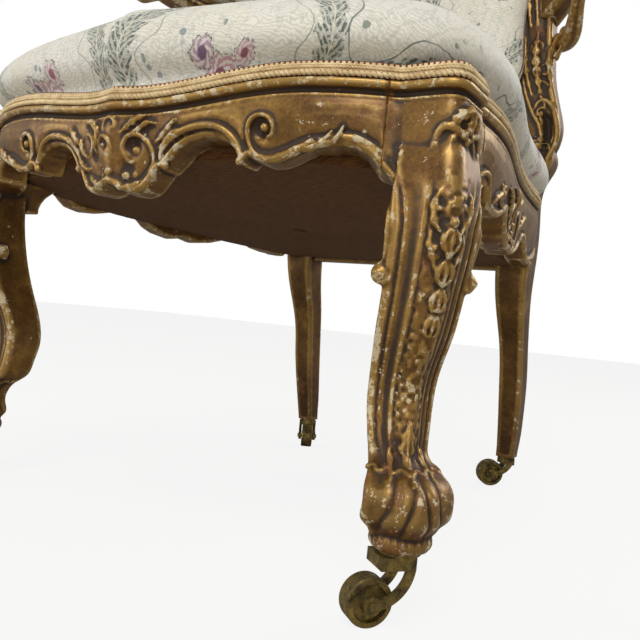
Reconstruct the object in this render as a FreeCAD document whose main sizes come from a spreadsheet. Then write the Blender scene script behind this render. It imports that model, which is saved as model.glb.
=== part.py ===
import FreeCAD, Part
import math
import os
import Sketcher
from FreeCAD import Placement, Rotation, Vector

# A giltwood armchair in the rococo taste: carved rails on cabriole front legs, a stuffed seat and back,
# open arms, and four brass casters. Millimetres. X is to the right, Y is to the back, Z is up.
# The origin is on the floor under the middle of the chair.

DOC = FreeCAD.newDocument("giltwood_armchair")
SHEET = DOC.addObject("Spreadsheet::Sheet", "Sizes")

SIZES = [
    # Feet and legs
    ("front_foot_half", 275, "centre line to the middle of a front foot"),
    ("front_foot_y", -262.35, "place of the front feet along the chair"),
    ("rear_foot_back", 575, "front feet to rear feet"),
    ("front_ring_width", 46, "round ring at the bottom of a front leg"),
    ("front_ring_base", 57, "underside of the front ring above the floor"),
    ("front_ring_height", 12, "height of the front ring"),
    ("rear_foot_base", 45, "underside of a rear leg above the floor"),
    ("knob_radius", 8.5, "small scroll on each edge of a front leg"),
    ("knob_height", 267, "height of the small scrolls"),
    ("knob_out", 26, "small scrolls from the middle of the leg"),
    ("knob_depth", 20, "how far a small scroll runs into the leg"),
    # Plan of the seat, measured back from the front feet
    ("bow_centre", 86, "front rail ahead of the feet at the centre"),
    ("bow_quarter_x", 135, "second point of the front bow"),
    ("bow_quarter", 64, "front rail ahead of the feet there"),
    ("bow_end_x", 250, "end of the front bow"),
    ("bow_end", 26, "front rail ahead of the feet there"),
    ("corner_x", 283, "half width at the front corner"),
    ("corner_back", 10, "front corner behind the feet"),
    ("side_front_x", 291, "widest half width"),
    ("side_front_back", 48, "place of the widest point"),
    ("side_mid_x", 262.5, "half width in the middle of the side"),
    ("side_mid_back", 237, "place of that point"),
    ("side_rear_x", 234, "half width near the rear post"),
    ("side_rear_back", 411, "place of that point"),
    ("rear_corner_x", 208, "half width at the rear corner"),
    ("rear_corner_back", 505, "place of the rear corner"),
    ("rear_edge_back", 536, "rear edge of the seat"),
    # Rails
    ("rail_top", 414, "top of the seat rails"),
    ("rail_dip", 15, "how far the tops of the front and rear rails dip in the middle"),
    ("rail_dip_half", 185, "half the width of that dip"),
    ("rail_thickness", 32, "thickness of the seat rails"),
    ("rail_joint_x", 243, "joint of front rail and leg, from the centre line"),
    ("rail_joint_back", 52, "joint of side rail and leg, behind the front feet"),
    ("moulding_height", 7, "half round moulding under the gimp"),
    ("moulding_proud", 3, "how far that moulding stands out"),
    ("cartouche_drop", 84, "carved centre of the front rail below its top"),
    ("arch_drop", 47, "arch of the front rail below its top"),
    ("lobe_drop", 66, "lobe between the arches below the top"),
    ("outer_arch_drop", 53, "arch beside the leg below the top"),
    ("joint_drop", 65, "lower edge of a rail at the leg"),
    ("side_cartouche_drop", 90, "carved centre of a side rail below its top"),
    ("side_lobe_drop", 76, "lobe of a side rail behind the leg"),
    ("side_notch_drop", 64, "notch of a side rail"),
    ("side_end_drop", 85, "side rail at the rear post"),
    ("rear_rail_drop", 88, "height of the rear rail"),
    ("rear_rail_thickness", 26, "thickness of the rear rail"),
    ("leg_edge_x", 257, "inner edge of the leg under the rail"),
    ("leg_edge_back", 38, "inner edge of the leg under the side rail"),
    ("leg_shoulder", 318, "height where the arch meets the leg's edge"),
    # Back frame
    ("post_half", 186, "centre line to a rear post at the seat"),
    ("post_back", 516, "rear post behind the front feet at the seat"),
    ("post_width", 46, "rear post at the seat"),
    ("back_foot", 500, "height where the back starts to rake"),
    ("back_line", 527, "middle of the back there, behind the front feet"),
    ("back_rake", 8.5, "rake of the back in degrees"),
    ("back_thickness", 34, "thickness of the back frame"),
    ("bulge_half", 229, "outer edge of the scroll at the foot of the back"),
    ("waist_half", 197, "outer edge of the back at its waist"),
    ("shoulder_half", 236, "outer edge of the back at the shoulder"),
    ("waist_height", 735, "height of the waist"),
    ("shoulder_height", 890, "height of the shoulder"),
    ("stile_width", 49, "width of the back frame"),
    ("crest_joint", 925, "joint of crest and posts"),
    ("crest_height", 1034, "top of the crest"),
    ("back_rail_low", 516, "underside of the lower back rail"),
    ("back_rail_high", 586, "top of the lower back rail"),
    # Arms
    ("arm_root_height", 728, "middle of the arm at the post"),
    ("arm_root_depth", 12, "how far the arm's root reaches into the post"),
    ("arm_height", 694, "middle of the arm at the hand"),
    ("arm_reach", 355, "front of the arm ahead of its root"),
    ("arm_half", 296, "centre line to the middle of the arm"),
    ("arm_width", 36, "width of an arm"),
    ("arm_depth", 31, "depth of an arm"),
    ("arm_scroll_radius", 24, "scroll at the hand"),
    ("arm_pad_length", 165, "length of the padded rest"),
    ("arm_pad_width", 50, "width of the padded rest"),
    ("arm_pad_height", 24, "height of the padded rest"),
    # Seat upholstery
    ("seat_crown", 94, "height of the seat above the rails"),
    ("seat_rise", 12, "how much higher the seat is at the back than at the front"),
    ("rear_ease", 5, "softness of the seat's rear edge between the posts"),
    ("housing_half", 179.6, "half distance between the seat's housings in the rear posts"),
    ("housing_back", 520.8, "back of those housings behind the front feet"),
    ("housing_level", 487, "underside of those housings"),
    ("housing_height", 9, "height of those housings"),
    ("cover_thickness", 1.5, "cover cloth and its lining"),
    ("gimp_height", 15, "height of the gimp braid"),
    ("gimp_thickness", 3, "thickness of the gimp braid"),
    ("soft_gap", 0.3, "clearance round soft pieces"),
    ("web_width", 50, "width of a webbing strap"),
    ("web_thickness", 2, "thickness of webbing"),
    ("web_count", 4, "straps each way under the seat"),
    ("web_pitch", 88, "distance between straps"),
    ("web_level", 390, "height of the webbing"),
    ("spring_wire", 3.5, "diameter of the spring wire"),
    ("spring_radius", 28, "radius of a seat spring"),
    ("spring_height", 40, "height of a seat spring under load"),
    ("spring_turns", 3, "turns of a seat spring"),
    ("dust_thickness", 1.2, "dust cover cloth"),
    ("dust_sag", 12, "sag of the dust cover"),
    ("dust_front", 362, "dust cover at the front rail"),
    ("dust_rear", 331, "dust cover at the rear rail"),
    # Back upholstery
    ("back_pad_depth", 36, "how far the back pad stands out"),
    ("back_rebate", 10, "pad edge inside the frame's edge"),
    ("back_cloth", 1.5, "outside back cloth"),
    # Casters
    ("wheel_radius", 19, "caster wheel"),
    ("wheel_width", 18, "tread of the caster wheel"),
    ("wheel_dish", 3.5, "depth of the dished faces"),
    ("wheel_rim", 4.5, "thickness of the rim"),
    ("hub_radius", 6.5, "hub of the wheel"),
    ("axle_radius", 2.5, "axle"),
    ("running_gap", 0.08, "radial clearance of pins in their holes"),
    ("face_gap", 0.3, "clearance between turning faces"),
    ("trail", 24, "wheel axle behind the swivel pin"),
    ("fork_gap", 1, "clearance beside the wheel"),
    ("fork_arm", 4.5, "thickness of a fork arm"),
    ("fork_band", 7, "width of a fork arm"),
    ("fork_block", 9, "height of the block over the wheel"),
    ("fork_head_radius", 13, "round block under the leg"),
    ("pin_radius", 4, "swivel pin"),
    ("pin_length", 30, "swivel pin inside the leg"),
    ("sleeve_wall", 1.5, "wall of the sleeve in the leg"),
    ("plate_radius", 17, "caster plate on the front legs"),
    ("rear_plate_radius", 12.5, "caster plate on the rear legs"),
    ("plate_thickness", 2, "thickness of a caster plate"),
    ("screw_radius", 1.6, "wood screw in a caster plate"),
    ("screw_length", 14, "length of those screws"),
    # Small joinery
    ("dowel_radius", 5, "beech dowels in the joints"),
    ("dowel_length", 50, "length of a dowel"),
    ("dowel_spacing", 24, "distance between two dowels of a joint"),
    ("block_leg", 62, "side of a corner block"),
    ("block_height", 28, "height of a corner block"),
    ("block_top", 386, "top of the corner blocks"),
    ("block_screw_radius", 2.5, "screw through a corner block"),
    ("block_screw_length", 35, "length of that screw"),
    ("tack_radius", 3.2, "head of an upholstery tack"),
    ("tack_length", 9, "length of a tack"),
]

for row, (alias, value, note) in enumerate(SIZES, start=1):
    SHEET.set(f"A{row}", note)
    SHEET.set(f"B{row}", str(value))
    SHEET.setAlias(f"B{row}", alias)
DOC.recompute()


def size(alias):
    """A driving dimension, read from the sheet."""
    return float(SHEET.get(alias))


def back(distance):
    """Y of a place that lies a distance behind the front feet."""
    return size("front_foot_y") + distance


def piece(label, shape, placement=None):
    """A sub-part whose shape is worked out here from the sheet's sizes."""
    obj = DOC.addObject("Part::Feature", label)
    obj.Label = label
    obj.Shape = shape
    if placement is not None:
        obj.Placement = placement
    return obj


PARTS = []


def keep(obj):
    """Marks an object as one of the chair's pieces."""
    PARTS.append(obj)
    return obj


def mirrored(shape):
    """The same shape on the other side of the chair."""
    return shape.mirror(Vector(0, 0, 0), Vector(1, 0, 0))


def spline(points, periodic=False):
    """A smooth edge through a few points."""
    curve = Part.BSplineCurve()
    curve.interpolate(Points=points, PeriodicFlag=periodic)
    return curve


def straight(first, last):
    return Part.makeLine(first, last)


def joined(shapes):
    """One solid from shapes that overlap."""
    result = shapes[0]
    for shape in shapes[1:]:
        result = result.fuse(shape)
    return result.removeSplitter()


# Plan of the seat
def outline_half():
    """Points of the seat's outer line from the front centre to the rear centre, right half."""
    return [
        Vector(0, back(-size("bow_centre")), 0),
        Vector(size("bow_quarter_x"), back(-size("bow_quarter")), 0),
        Vector(size("bow_end_x"), back(-size("bow_end")), 0),
        Vector(size("corner_x"), back(size("corner_back")), 0),
        Vector(size("side_front_x"), back(size("side_front_back")), 0),
        Vector(size("side_mid_x"), back(size("side_mid_back")), 0),
        Vector(size("side_rear_x"), back(size("side_rear_back")), 0),
        Vector(size("rear_corner_x"), back(size("rear_corner_back")), 0),
        Vector(size("post_half") - size("post_width") / 2, back(size("rear_edge_back")), 0),
        Vector(0, back(size("rear_edge_back")), 0),
    ]


HALF = outline_half()
OUTLINE = spline(HALF + [Vector(-p.x, p.y, 0) for p in reversed(HALF[1:-1])], periodic=True)


def outline_points(first, last, inset, count):
    """Points on the seat's outer line between two of its parameters, moved in by an inset."""
    points = []
    for step in range(count + 1):
        place = first + (last - first) * step / count
        along = OUTLINE.tangent(place)[0]
        inward = Vector(-along.y, along.x, 0)
        points.append(OUTLINE.value(place) + inward * inset)
    return points


def closed_outline(inset, level):
    """The whole outer line at one height, moved in by an inset."""
    span = OUTLINE.LastParameter - OUTLINE.FirstParameter
    count = 56
    points = outline_points(OUTLINE.FirstParameter, OUTLINE.FirstParameter + span * (count - 1) / count,
                            inset, count - 1)
    for point in points:
        point.z = level
    return Part.Wire([spline(points, periodic=True).toShape()])


def strip(first, last, outer, inner, low, high):
    """A rail that follows the seat's outer line, between two insets and two heights."""
    count = 24
    out_points = outline_points(first, last, outer, count)
    in_points = outline_points(first, last, inner, count)
    edges = [
        spline(out_points).toShape(),
        straight(out_points[-1], in_points[-1]),
        spline(list(reversed(in_points))).toShape(),
        straight(in_points[0], out_points[0]),
    ]
    face = Part.Face(Part.Wire(edges))
    face.translate(Vector(0, 0, low))
    return face.extrude(Vector(0, 0, high - low))


def parameter_near(x, y):
    return OUTLINE.parameter(Vector(x, y, 0))


FRONT_JOINT = parameter_near(size("rail_joint_x"), back(-size("bow_end")))
SIDE_JOINT = parameter_near(size("side_front_x"), back(size("rail_joint_back")))
POST_FRONT = size("post_back") - size("post_width") / 2
REAR_JOINT = parameter_near(size("side_rear_x"), back(POST_FRONT))
REACH = 400
AHEAD = back(-REACH / 2)
JOINT_OVERLAP = 0.01


def under(edges, first, last, axis):
    """Everything from the floor up to a line of edges, drawn in front view (axis Y) or side view (axis X)."""
    floor_first = Vector(first.x, first.y, 0)
    floor_last = Vector(last.x, last.y, 0)
    wire = Part.Wire(edges + [straight(last, floor_last), straight(floor_last, floor_first),
                              straight(floor_first, first)])
    face = Part.Face(wire)
    face.translate(axis * -REACH)
    return face.extrude(axis * 2 * REACH)


def below(points, axis):
    """Everything from the floor up to a smooth line."""
    return under([spline(points).toShape()], points[0], points[-1], axis)


def moulded(first, last, low_solid):
    """A rail with the half round moulding along its top edge."""
    top = size("rail_top")
    bead = strip(first, last, -size("moulding_proud"), size("rail_thickness") / 2,
                 top - size("moulding_height"), top)
    return joined([low_solid, bead])


def dip(x):
    """How far the tops of the front and rear rails lie below the side rails, at a place across the chair."""
    half = size("rail_dip_half")
    return size("rail_dip") * math.cos(math.pi * x / (2 * half)) ** 2 if abs(x) < half else 0


def below_dip(level):
    """Everything from the floor up to a level line that dips in the middle of the front and rear rails."""
    half = size("rail_dip_half")
    count = 8
    places = [half * (2 * step / count - 1) for step in range(count + 1)]
    points = [Vector(x, 0, level - dip(x)) for x in places]
    curve = Part.BSplineCurve()
    level_way = Vector(1, 0, 0)
    curve.interpolate(Points=points, InitialTangent=level_way, FinalTangent=level_way)
    first = Vector(-REACH, 0, level)
    last = Vector(REACH, 0, level)
    edges = [straight(first, points[0]), curve.toShape(), straight(points[-1], last)]
    return under(edges, first, last, Vector(0, 1, 0))


def dipped(shape, low, high):
    """The part of a shape between two levels that dip with the front rail."""
    return shape.common(below_dip(high)).cut(below_dip(low))


# Front rail: carved centre, an arch each side of it, a lobe, and an arch into each leg
def front_apron():
    """Half of the front rail's lower edge: share of the way to the joint, and drop below the top."""
    centre = size("cartouche_drop")
    arch = size("arch_drop")
    lobe = size("lobe_drop")
    outer = size("outer_arch_drop")
    return [
        (0.00, centre), (0.10, centre - 2), (0.18, centre - 12), (0.22, centre - 21), (0.30, arch + 4),
        (0.39, arch), (0.48, arch + 6), (0.55, lobe + 1), (0.64, lobe + 1), (0.74, lobe - 4),
        (0.84, outer), (0.93, outer + 3), (1.00, size("joint_drop")),
    ]


def front_rail():
    top = size("rail_top")
    half = size("rail_joint_x")
    right = [Vector(share * half, 0, top - drop) for share, drop in front_apron()]
    left = [Vector(-p.x, 0, p.z) for p in reversed(right[1:])]
    width = Vector(1, 0, 0)
    points = [left[0] - width] + left[1:] + right[:-1] + [right[-1] + width]
    span = OUTLINE.LastParameter - OUTLINE.FirstParameter
    first = parameter_near(-half, back(-size("bow_end"))) - span
    base = top - size("cartouche_drop") - size("rail_dip")
    low = strip(first, FRONT_JOINT, 0, size("rail_thickness"), base, top)
    low = low.cut(below(points, Vector(0, 1, 0)))
    low = low.common(below_dip(top))
    bead_low = top - size("moulding_height")
    bead = strip(first, FRONT_JOINT, -size("moulding_proud"), size("rail_thickness") / 2,
                 bead_low - size("rail_dip") - 1, top + 1)
    bead = dipped(bead, bead_low, top)
    square = Part.makeBox(2 * half, REACH, top, Vector(-half, AHEAD, 0))
    return joined([low, bead]).common(square)


def side_apron():
    """A side rail's lower edge: share of the way from leg to post, and drop below the top."""
    centre = size("side_cartouche_drop")
    lobe = size("side_lobe_drop")
    notch = size("side_notch_drop")
    return [
        (0.00, size("joint_drop")), (0.06, size("outer_arch_drop") + 2), (0.12, lobe - 4), (0.22, lobe),
        (0.31, notch), (0.38, centre - 5), (0.47, centre), (0.57, centre - 1), (0.65, centre - 4),
        (0.73, notch + 16), (0.82, size("side_end_drop") - 2), (1.00, size("side_end_drop")),
    ]


def side_rail():
    top = size("rail_top")
    start = back(size("rail_joint_back"))
    end = back(POST_FRONT)
    points = [Vector(0, start + share * (end - start), top - drop) for share, drop in side_apron()]
    depth = Vector(0, 1, 0)
    points = [points[0] - depth] + points[1:-1] + [points[-1] + depth]
    first = SIDE_JOINT - JOINT_OVERLAP
    last = REAR_JOINT + JOINT_OVERLAP
    low = strip(first, last, 0, size("rail_thickness"), top - size("side_cartouche_drop") - 10, top)
    low = low.cut(below(points, Vector(1, 0, 0)))
    square = Part.makeBox(REACH, end - start, top, Vector(0, start, 0))
    return moulded(first, last, low).common(square)


# Front legs: a square blank worked into an S curve that runs out to the corner of the seat
FRONT_LEG = [
    # height, distance out along the diagonal, width, corner radius as a share of the width
    (69, 2, 42, 0.46), (76, 5, 54, 0.44), (88, 9, 62, 0.42), (100, 10, 62, 0.40), (110, 4, 54, 0.36),
    (119, -12, 43, 0.30), (129, -25, 38, 0.26), (141, -28, 38.5, 0.24), (161, -31, 41, 0.22),
    (190, -27.5, 43, 0.22), (224, -13.5, 48, 0.22), (256, -3, 50, 0.22), (288, 5, 53, 0.22),
    (318, 8.5, 54, 0.24), (352, 5, 54, 0.26), (384, -3, 50, 0.28),
]


def rounded_square(centre, width, outer_radius, inner_radius):
    """A square with one large rounded corner towards +X, -Y and three small ones."""
    half = width / 2
    corners = [(1, -1, outer_radius), (1, 1, inner_radius), (-1, 1, inner_radius), (-1, -1, inner_radius)]
    edges = []
    ends = []
    for sx, sy, radius in corners:
        middle = Vector(centre.x + sx * (half - radius), centre.y + sy * (half - radius), centre.z)
        along_x = middle + Vector(sx * radius, 0, 0)
        along_y = middle + Vector(0, sy * radius, 0)
        knee = middle + Vector(sx, sy, 0) * (radius / math.sqrt(2))
        pair = (along_y, along_x) if sx * sy < 0 else (along_x, along_y)
        ends.append((pair[0], knee, pair[1]))
    for index, (first, knee, last) in enumerate(ends):
        edges.append(Part.Arc(first, knee, last).toShape())
        edges.append(straight(last, ends[(index + 1) % 4][0]))
    return Part.Wire(edges)


def leg_centre(height, out):
    """Middle of the front leg at a height, a distance out along the diagonal."""
    reach = out / math.sqrt(2)
    return Vector(size("front_foot_half") + reach, back(-reach), height)


def front_leg():
    sections = [rounded_square(leg_centre(height, out), width, width * share, width * 0.12)
                for height, out, width, share in FRONT_LEG]
    shaft = Part.makeLoft(sections, True, False)
    foot = leg_centre(size("front_ring_base"), 0)
    ring_radius = size("front_ring_width") / 2
    ring_height = size("front_ring_height")
    ring = Part.makeCylinder(ring_radius, ring_height, foot)
    ring = ring.makeFillet(ring_height * 0.35, [ring.Edges[0], ring.Edges[2]])
    neck = Part.makeCylinder(ring_radius * 0.85, ring_height + 6, foot)
    head = leg_head()
    knobs = leg_knobs()
    leg = joined([shaft, ring, neck, head] + knobs)
    return leg.cut(sleeve_hole(foot))


def leg_head():
    """The top of the leg, between the ends of the front rail and the side rail."""
    top = size("rail_top")
    shoulder = size("leg_shoulder")
    plan = Part.Face(closed_outline(0, shoulder)).extrude(Vector(0, 0, top - shoulder))
    bead_low = top - size("moulding_height")
    bead = Part.Face(closed_outline(-size("moulding_proud"), bead_low))
    bead = bead.extrude(Vector(0, 0, size("moulding_height")))
    plan = plan.fuse(bead)
    joint_x = size("rail_joint_x")
    edge_x = size("leg_edge_x")
    joint_z = top - size("joint_drop")
    bend_x = edge_x - (edge_x - joint_x) * 0.3
    bend_z = joint_z - (joint_z - shoulder) * 0.35
    front = Part.Wire([
        Part.Arc(Vector(joint_x, 0, joint_z), Vector(bend_x, 0, bend_z), Vector(edge_x, 0, shoulder)).toShape(),
        straight(Vector(edge_x, 0, shoulder), Vector(REACH, 0, shoulder)),
        straight(Vector(REACH, 0, shoulder), Vector(REACH, 0, top)),
        straight(Vector(REACH, 0, top), Vector(joint_x, 0, top)),
        straight(Vector(joint_x, 0, top), Vector(joint_x, 0, joint_z)),
    ])
    front = Part.Face(front)
    front.translate(Vector(0, AHEAD, 0))
    front = front.extrude(Vector(0, 2 * REACH, 0))
    joint_y = back(size("rail_joint_back"))
    edge_y = back(size("leg_edge_back"))
    bend_y = edge_y + (joint_y - edge_y) * 0.3
    side = Part.Wire([
        Part.Arc(Vector(0, joint_y, joint_z), Vector(0, bend_y, bend_z), Vector(0, edge_y, shoulder)).toShape(),
        straight(Vector(0, edge_y, shoulder), Vector(0, AHEAD, shoulder)),
        straight(Vector(0, AHEAD, shoulder), Vector(0, AHEAD, top)),
        straight(Vector(0, AHEAD, top), Vector(0, joint_y, top)),
        straight(Vector(0, joint_y, top), Vector(0, joint_y, joint_z)),
    ])
    side = Part.Face(side).extrude(Vector(REACH, 0, 0))
    return plan.common(front).common(side)


def leg_knobs():
    """The small scrolls where the mouldings of the rails end on the leg's edges."""
    level = size("knob_height")
    radius = size("knob_radius")
    centre = leg_centre(level, 0)
    out = size("knob_out")
    depth = size("knob_depth")
    front = Part.makeCylinder(radius, depth, Vector(centre.x - out, centre.y - out, level), Vector(0, 1, 0))
    side = Part.makeCylinder(radius, depth, Vector(centre.x + out, centre.y + out, level), Vector(-1, 0, 0))
    return [front, side]


def sleeve_hole(foot):
    """The hole in the foot of a leg for the caster's sleeve."""
    radius = size("pin_radius") + size("running_gap") + size("sleeve_wall")
    depth = size("pin_length") + size("face_gap") + size("sleeve_wall")
    return Part.makeCylinder(radius, depth + 1, foot - Vector(0, 0, 1))


# Rear posts: leg and back upright in one piece
REAR_LEG = [
    # height, share of the rake of the leg, change of half width, width
    (45, 1.00, -3, 27), (60, 0.98, -2, 28), (78, 0.95, -1, 30), (105, 0.88, 0, 32), (165, 0.71, 1, 35),
    (210, 0.57, 0, 36), (250, 0.36, -1, 40), (285, 0.15, -1, 44), (326, 0.03, 0, 48), (360, 0.01, 1, 49.5),
    (402, 0.00, 2, 47), (455, 0.05, 9, 41), (512, 0.13, 14, 38),
]


def rear_leg():
    rake = size("rear_foot_back") - size("post_back")
    sections = []
    for height, share, outwards, width in REAR_LEG:
        centre = Vector(size("post_half") + outwards, back(size("post_back") + rake * share), height)
        sections.append(rounded_square(centre, width, width * 0.14, width * 0.14))
    return Part.makeLoft(sections, True, False)


def rear_foot():
    """Middle of the rear foot's underside."""
    return Vector(size("post_half") + REAR_LEG[0][2], back(size("rear_foot_back")), size("rear_foot_base"))


def raked(shape):
    """Leans a shape drawn upright in the plane of the back to the rake of the back."""
    pivot = Vector(0, back(size("back_line")), size("back_foot"))
    shape = shape.copy()
    shape.translate(Vector(0, back(size("back_line")), 0))
    shape.rotate(pivot, Vector(1, 0, 0), -size("back_rake"))
    return shape


def back_outer():
    """Outer edge of the back frame, from the foot of the right post to the middle of the crest."""
    bulge = size("bulge_half")
    waist = size("waist_half")
    shoulder = size("shoulder_half")
    crest = size("crest_height")
    foot = size("back_foot")
    waist_z = size("waist_height")
    shoulder_z = size("shoulder_height")
    return [
        Vector(bulge - 16, 0, foot - 12), Vector(bulge - 5, 0, foot + 10), Vector(bulge, 0, foot + 40),
        Vector(bulge - 7, 0, foot + 72), Vector(waist + 12, 0, waist_z - 117), Vector(waist + 3, 0, waist_z - 45),
        Vector(waist, 0, waist_z), Vector(waist + 8, 0, waist_z + 50), Vector(shoulder - 12, 0, shoulder_z - 48),
        Vector(shoulder, 0, shoulder_z), Vector(shoulder - 5, 0, size("crest_joint")),
        Vector(shoulder - 28, 0, crest - 68), Vector(shoulder - 80, 0, crest - 47),
        Vector(shoulder - 135, 0, crest - 33), Vector(50, 0, crest - 11), Vector(0, 0, crest),
    ]


def back_inner():
    """Inner edge of the back frame, from the lower rail to the middle of the crest."""
    width = size("stile_width")
    waist = size("waist_half") - width
    shoulder = size("shoulder_half") - width
    crest = size("crest_height")
    low = size("back_rail_high")
    waist_z = size("waist_height")
    shoulder_z = size("shoulder_height")
    return [
        Vector(0, 0, low - 8), Vector(waist - 60, 0, low - 5), Vector(waist - 12, 0, low + 6),
        Vector(waist + 8, 0, low + 34), Vector(waist + 5, 0, waist_z - 55), Vector(waist, 0, waist_z),
        Vector(waist + 6, 0, waist_z + 50), Vector(shoulder - 12, 0, shoulder_z - 48),
        Vector(shoulder - 1, 0, shoulder_z - 5), Vector(shoulder - 12, 0, size("crest_joint")),
        Vector(shoulder - 52, 0, crest - 84), Vector(shoulder - 120, 0, crest - 68), Vector(0, 0, crest - 62),
    ]


def outer_frame_face():
    """Everything inside the back frame's outer edge, in front view."""
    right = back_outer()
    points = right + [Vector(-p.x, 0, p.z) for p in reversed(right[:-1])]
    return Part.Face(Part.Wire([spline(points).toShape(), straight(points[-1], points[0])]))


def opening_wire(points):
    """The edge of the back frame's opening, drawn from the right half of its points."""
    loop = points + [Vector(-p.x, 0, p.z) for p in reversed(points[1:-1])]
    return Part.Wire([spline(loop, periodic=True).toShape()])


def back_slab(low, high, left, right):
    """A stretch of the back frame between two heights and two places from the centre line."""
    thick = size("back_thickness")
    ring = outer_frame_face().cut(Part.Face(opening_wire(back_inner())))
    ring.translate(Vector(0, -thick / 2, 0))
    ring = ring.extrude(Vector(0, thick, 0))
    window = Part.makeBox(right - left, thick + 2, high - low, Vector(left, -thick / 2 - 1, low))
    return ring.common(window)


def rear_post():
    inner = size("waist_half") - size("stile_width") - 12
    stile = back_slab(back_outer()[0].z, size("crest_joint"), inner, REACH)
    neck = size("post_half") - size("post_width") / 2 + 2
    stile = stile.cut(Part.makeBox(neck - inner, 2 * REACH, size("back_rail_low"), Vector(inner, -REACH, 0)))
    foot = rear_foot()
    post = joined([rear_leg(), raked(stile)])
    return post.cut(sleeve_hole(foot)).cut(seat_housing())


def crest_rail():
    return raked(back_slab(size("crest_joint"), size("crest_height") + 10, -REACH, REACH))


def lower_back_rail():
    half = size("waist_half") - size("stile_width") - 12
    low = size("back_rail_low")
    thick = size("back_thickness") - 4
    lower = [Vector(0, 0, low - 12), Vector(half * 0.3, 0, low - 6), Vector(half * 0.62, 0, low + 12),
             Vector(half, 0, low + 4)]
    points = [Vector(-p.x, 0, p.z) for p in reversed(lower[1:])] + lower
    curve = spline(points)
    high = size("back_rail_high") + 30
    wire = Part.Wire([curve.toShape(), straight(points[-1], Vector(half, 0, high)),
                      straight(Vector(half, 0, high), Vector(-half, 0, high)),
                      straight(Vector(-half, 0, high), points[0])])
    face = Part.Face(wire).cut(Part.Face(opening_wire(back_inner())))
    face.translate(Vector(0, -thick / 2, 0))
    return raked(face.extrude(Vector(0, thick, 0)))


def rear_rail():
    """A plain rail between the rear posts, drawn to the middle of each and trimmed by it later."""
    half = size("post_half")
    top = size("rail_top")
    drop = size("rear_rail_drop")
    depth = size("rear_rail_thickness")
    box = Part.makeBox(2 * half, depth, drop, Vector(-half, back(size("rear_edge_back")) - depth, top - drop))
    return box.common(below_dip(top))


# Arms: sprung from the waist of the back, with a carved bracket under the root
def frame_wire(centre, along, width, depth, radius):
    """A rounded rectangle square to a direction, its depth as near upright as it can be."""
    along = Vector(along).normalize()
    side = along.cross(Vector(0, 0, 1)).normalize()
    up = side.cross(along)
    half_w = width / 2
    half_d = depth / 2
    ends = []
    for sx, sz in ((1, 1), (-1, 1), (-1, -1), (1, -1)):
        middle = centre + side * (sx * (half_w - radius)) + up * (sz * (half_d - radius))
        across = middle + side * (sx * radius)
        above = middle + up * (sz * radius)
        knee = middle + (side * sx + up * sz) * (radius / math.sqrt(2))
        ends.append((across, knee, above) if sx * sz > 0 else (above, knee, across))
    edges = []
    for index, (first, knee, last) in enumerate(ends):
        edges.append(Part.Arc(first, knee, last).toShape())
        edges.append(straight(last, ends[(index + 1) % 4][0]))
    return Part.Wire(edges)


def back_plane(height):
    """Y of the middle of the back frame at a height."""
    lean = math.tan(math.radians(size("back_rake")))
    return back(size("back_line")) + (height - size("back_foot")) * lean


def outer_edge(height):
    """Half width of the back frame at a height above the floor."""
    foot = size("back_foot")
    upright = foot + (height - foot) / math.cos(math.radians(size("back_rake")))
    level = straight(Vector(0, 0, upright), Vector(REACH, 0, upright))
    return spline(back_outer()).toShape().distToShape(level)[1][0][0].x


def arm_line():
    """The middle of the right arm, from its root in the post to the hand."""
    level = size("arm_root_height")
    root = Vector(outer_edge(level) - size("arm_root_depth"), back_plane(level), level)
    reach = size("arm_reach")
    spread = size("arm_half") - root.x
    fall = size("arm_height") - root.z
    stations = [(0.00, 0.00, 0.00), (0.10, 0.28, -0.10), (0.27, 0.60, 0.18), (0.46, 0.84, 0.58),
                (0.66, 0.97, 0.92), (0.84, 1.00, 1.05), (1.00, 0.98, 1.00)]
    return [Vector(root.x + spread * out, root.y - reach * ahead, root.z + fall * drop)
            for ahead, out, drop in stations]


ARM_LINE = arm_line()
ARM_CURVE = Part.BSplineCurve()
ARM_CURVE.interpolate(Points=ARM_LINE)


def arm_place(share):
    """A place on the middle line of the right arm, and the direction there."""
    place = ARM_CURVE.FirstParameter + share * (ARM_CURVE.LastParameter - ARM_CURVE.FirstParameter)
    return ARM_CURVE.value(place), ARM_CURVE.tangent(place)[0]


def arm():
    width = size("arm_width")
    depth = size("arm_depth")
    wires = []
    for share, wide, deep in ((0.0, 1.05, 1.5), (0.12, 0.95, 1.2), (0.3, 0.95, 1.0), (0.5, 1.0, 1.0),
                              (0.7, 1.05, 1.0), (0.88, 1.1, 1.0), (1.0, 1.0, 0.95)):
        centre, along = arm_place(share)
        wires.append(frame_wire(centre, along, width * wide, depth * deep, depth * 0.32))
    shaft = Part.makeLoft(wires, True, False)
    hand, along = arm_place(1.0)
    radius = size("arm_scroll_radius")
    scroll_width = width * 1.15
    centre = Vector(hand.x - scroll_width / 2, hand.y, hand.z + size("arm_depth") / 2 - radius)
    scroll = Part.makeCylinder(radius, scroll_width, centre, Vector(1, 0, 0))
    scroll = scroll.makeFillet(4, [scroll.Edges[0], scroll.Edges[2]])
    return joined([shaft, scroll])


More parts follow.
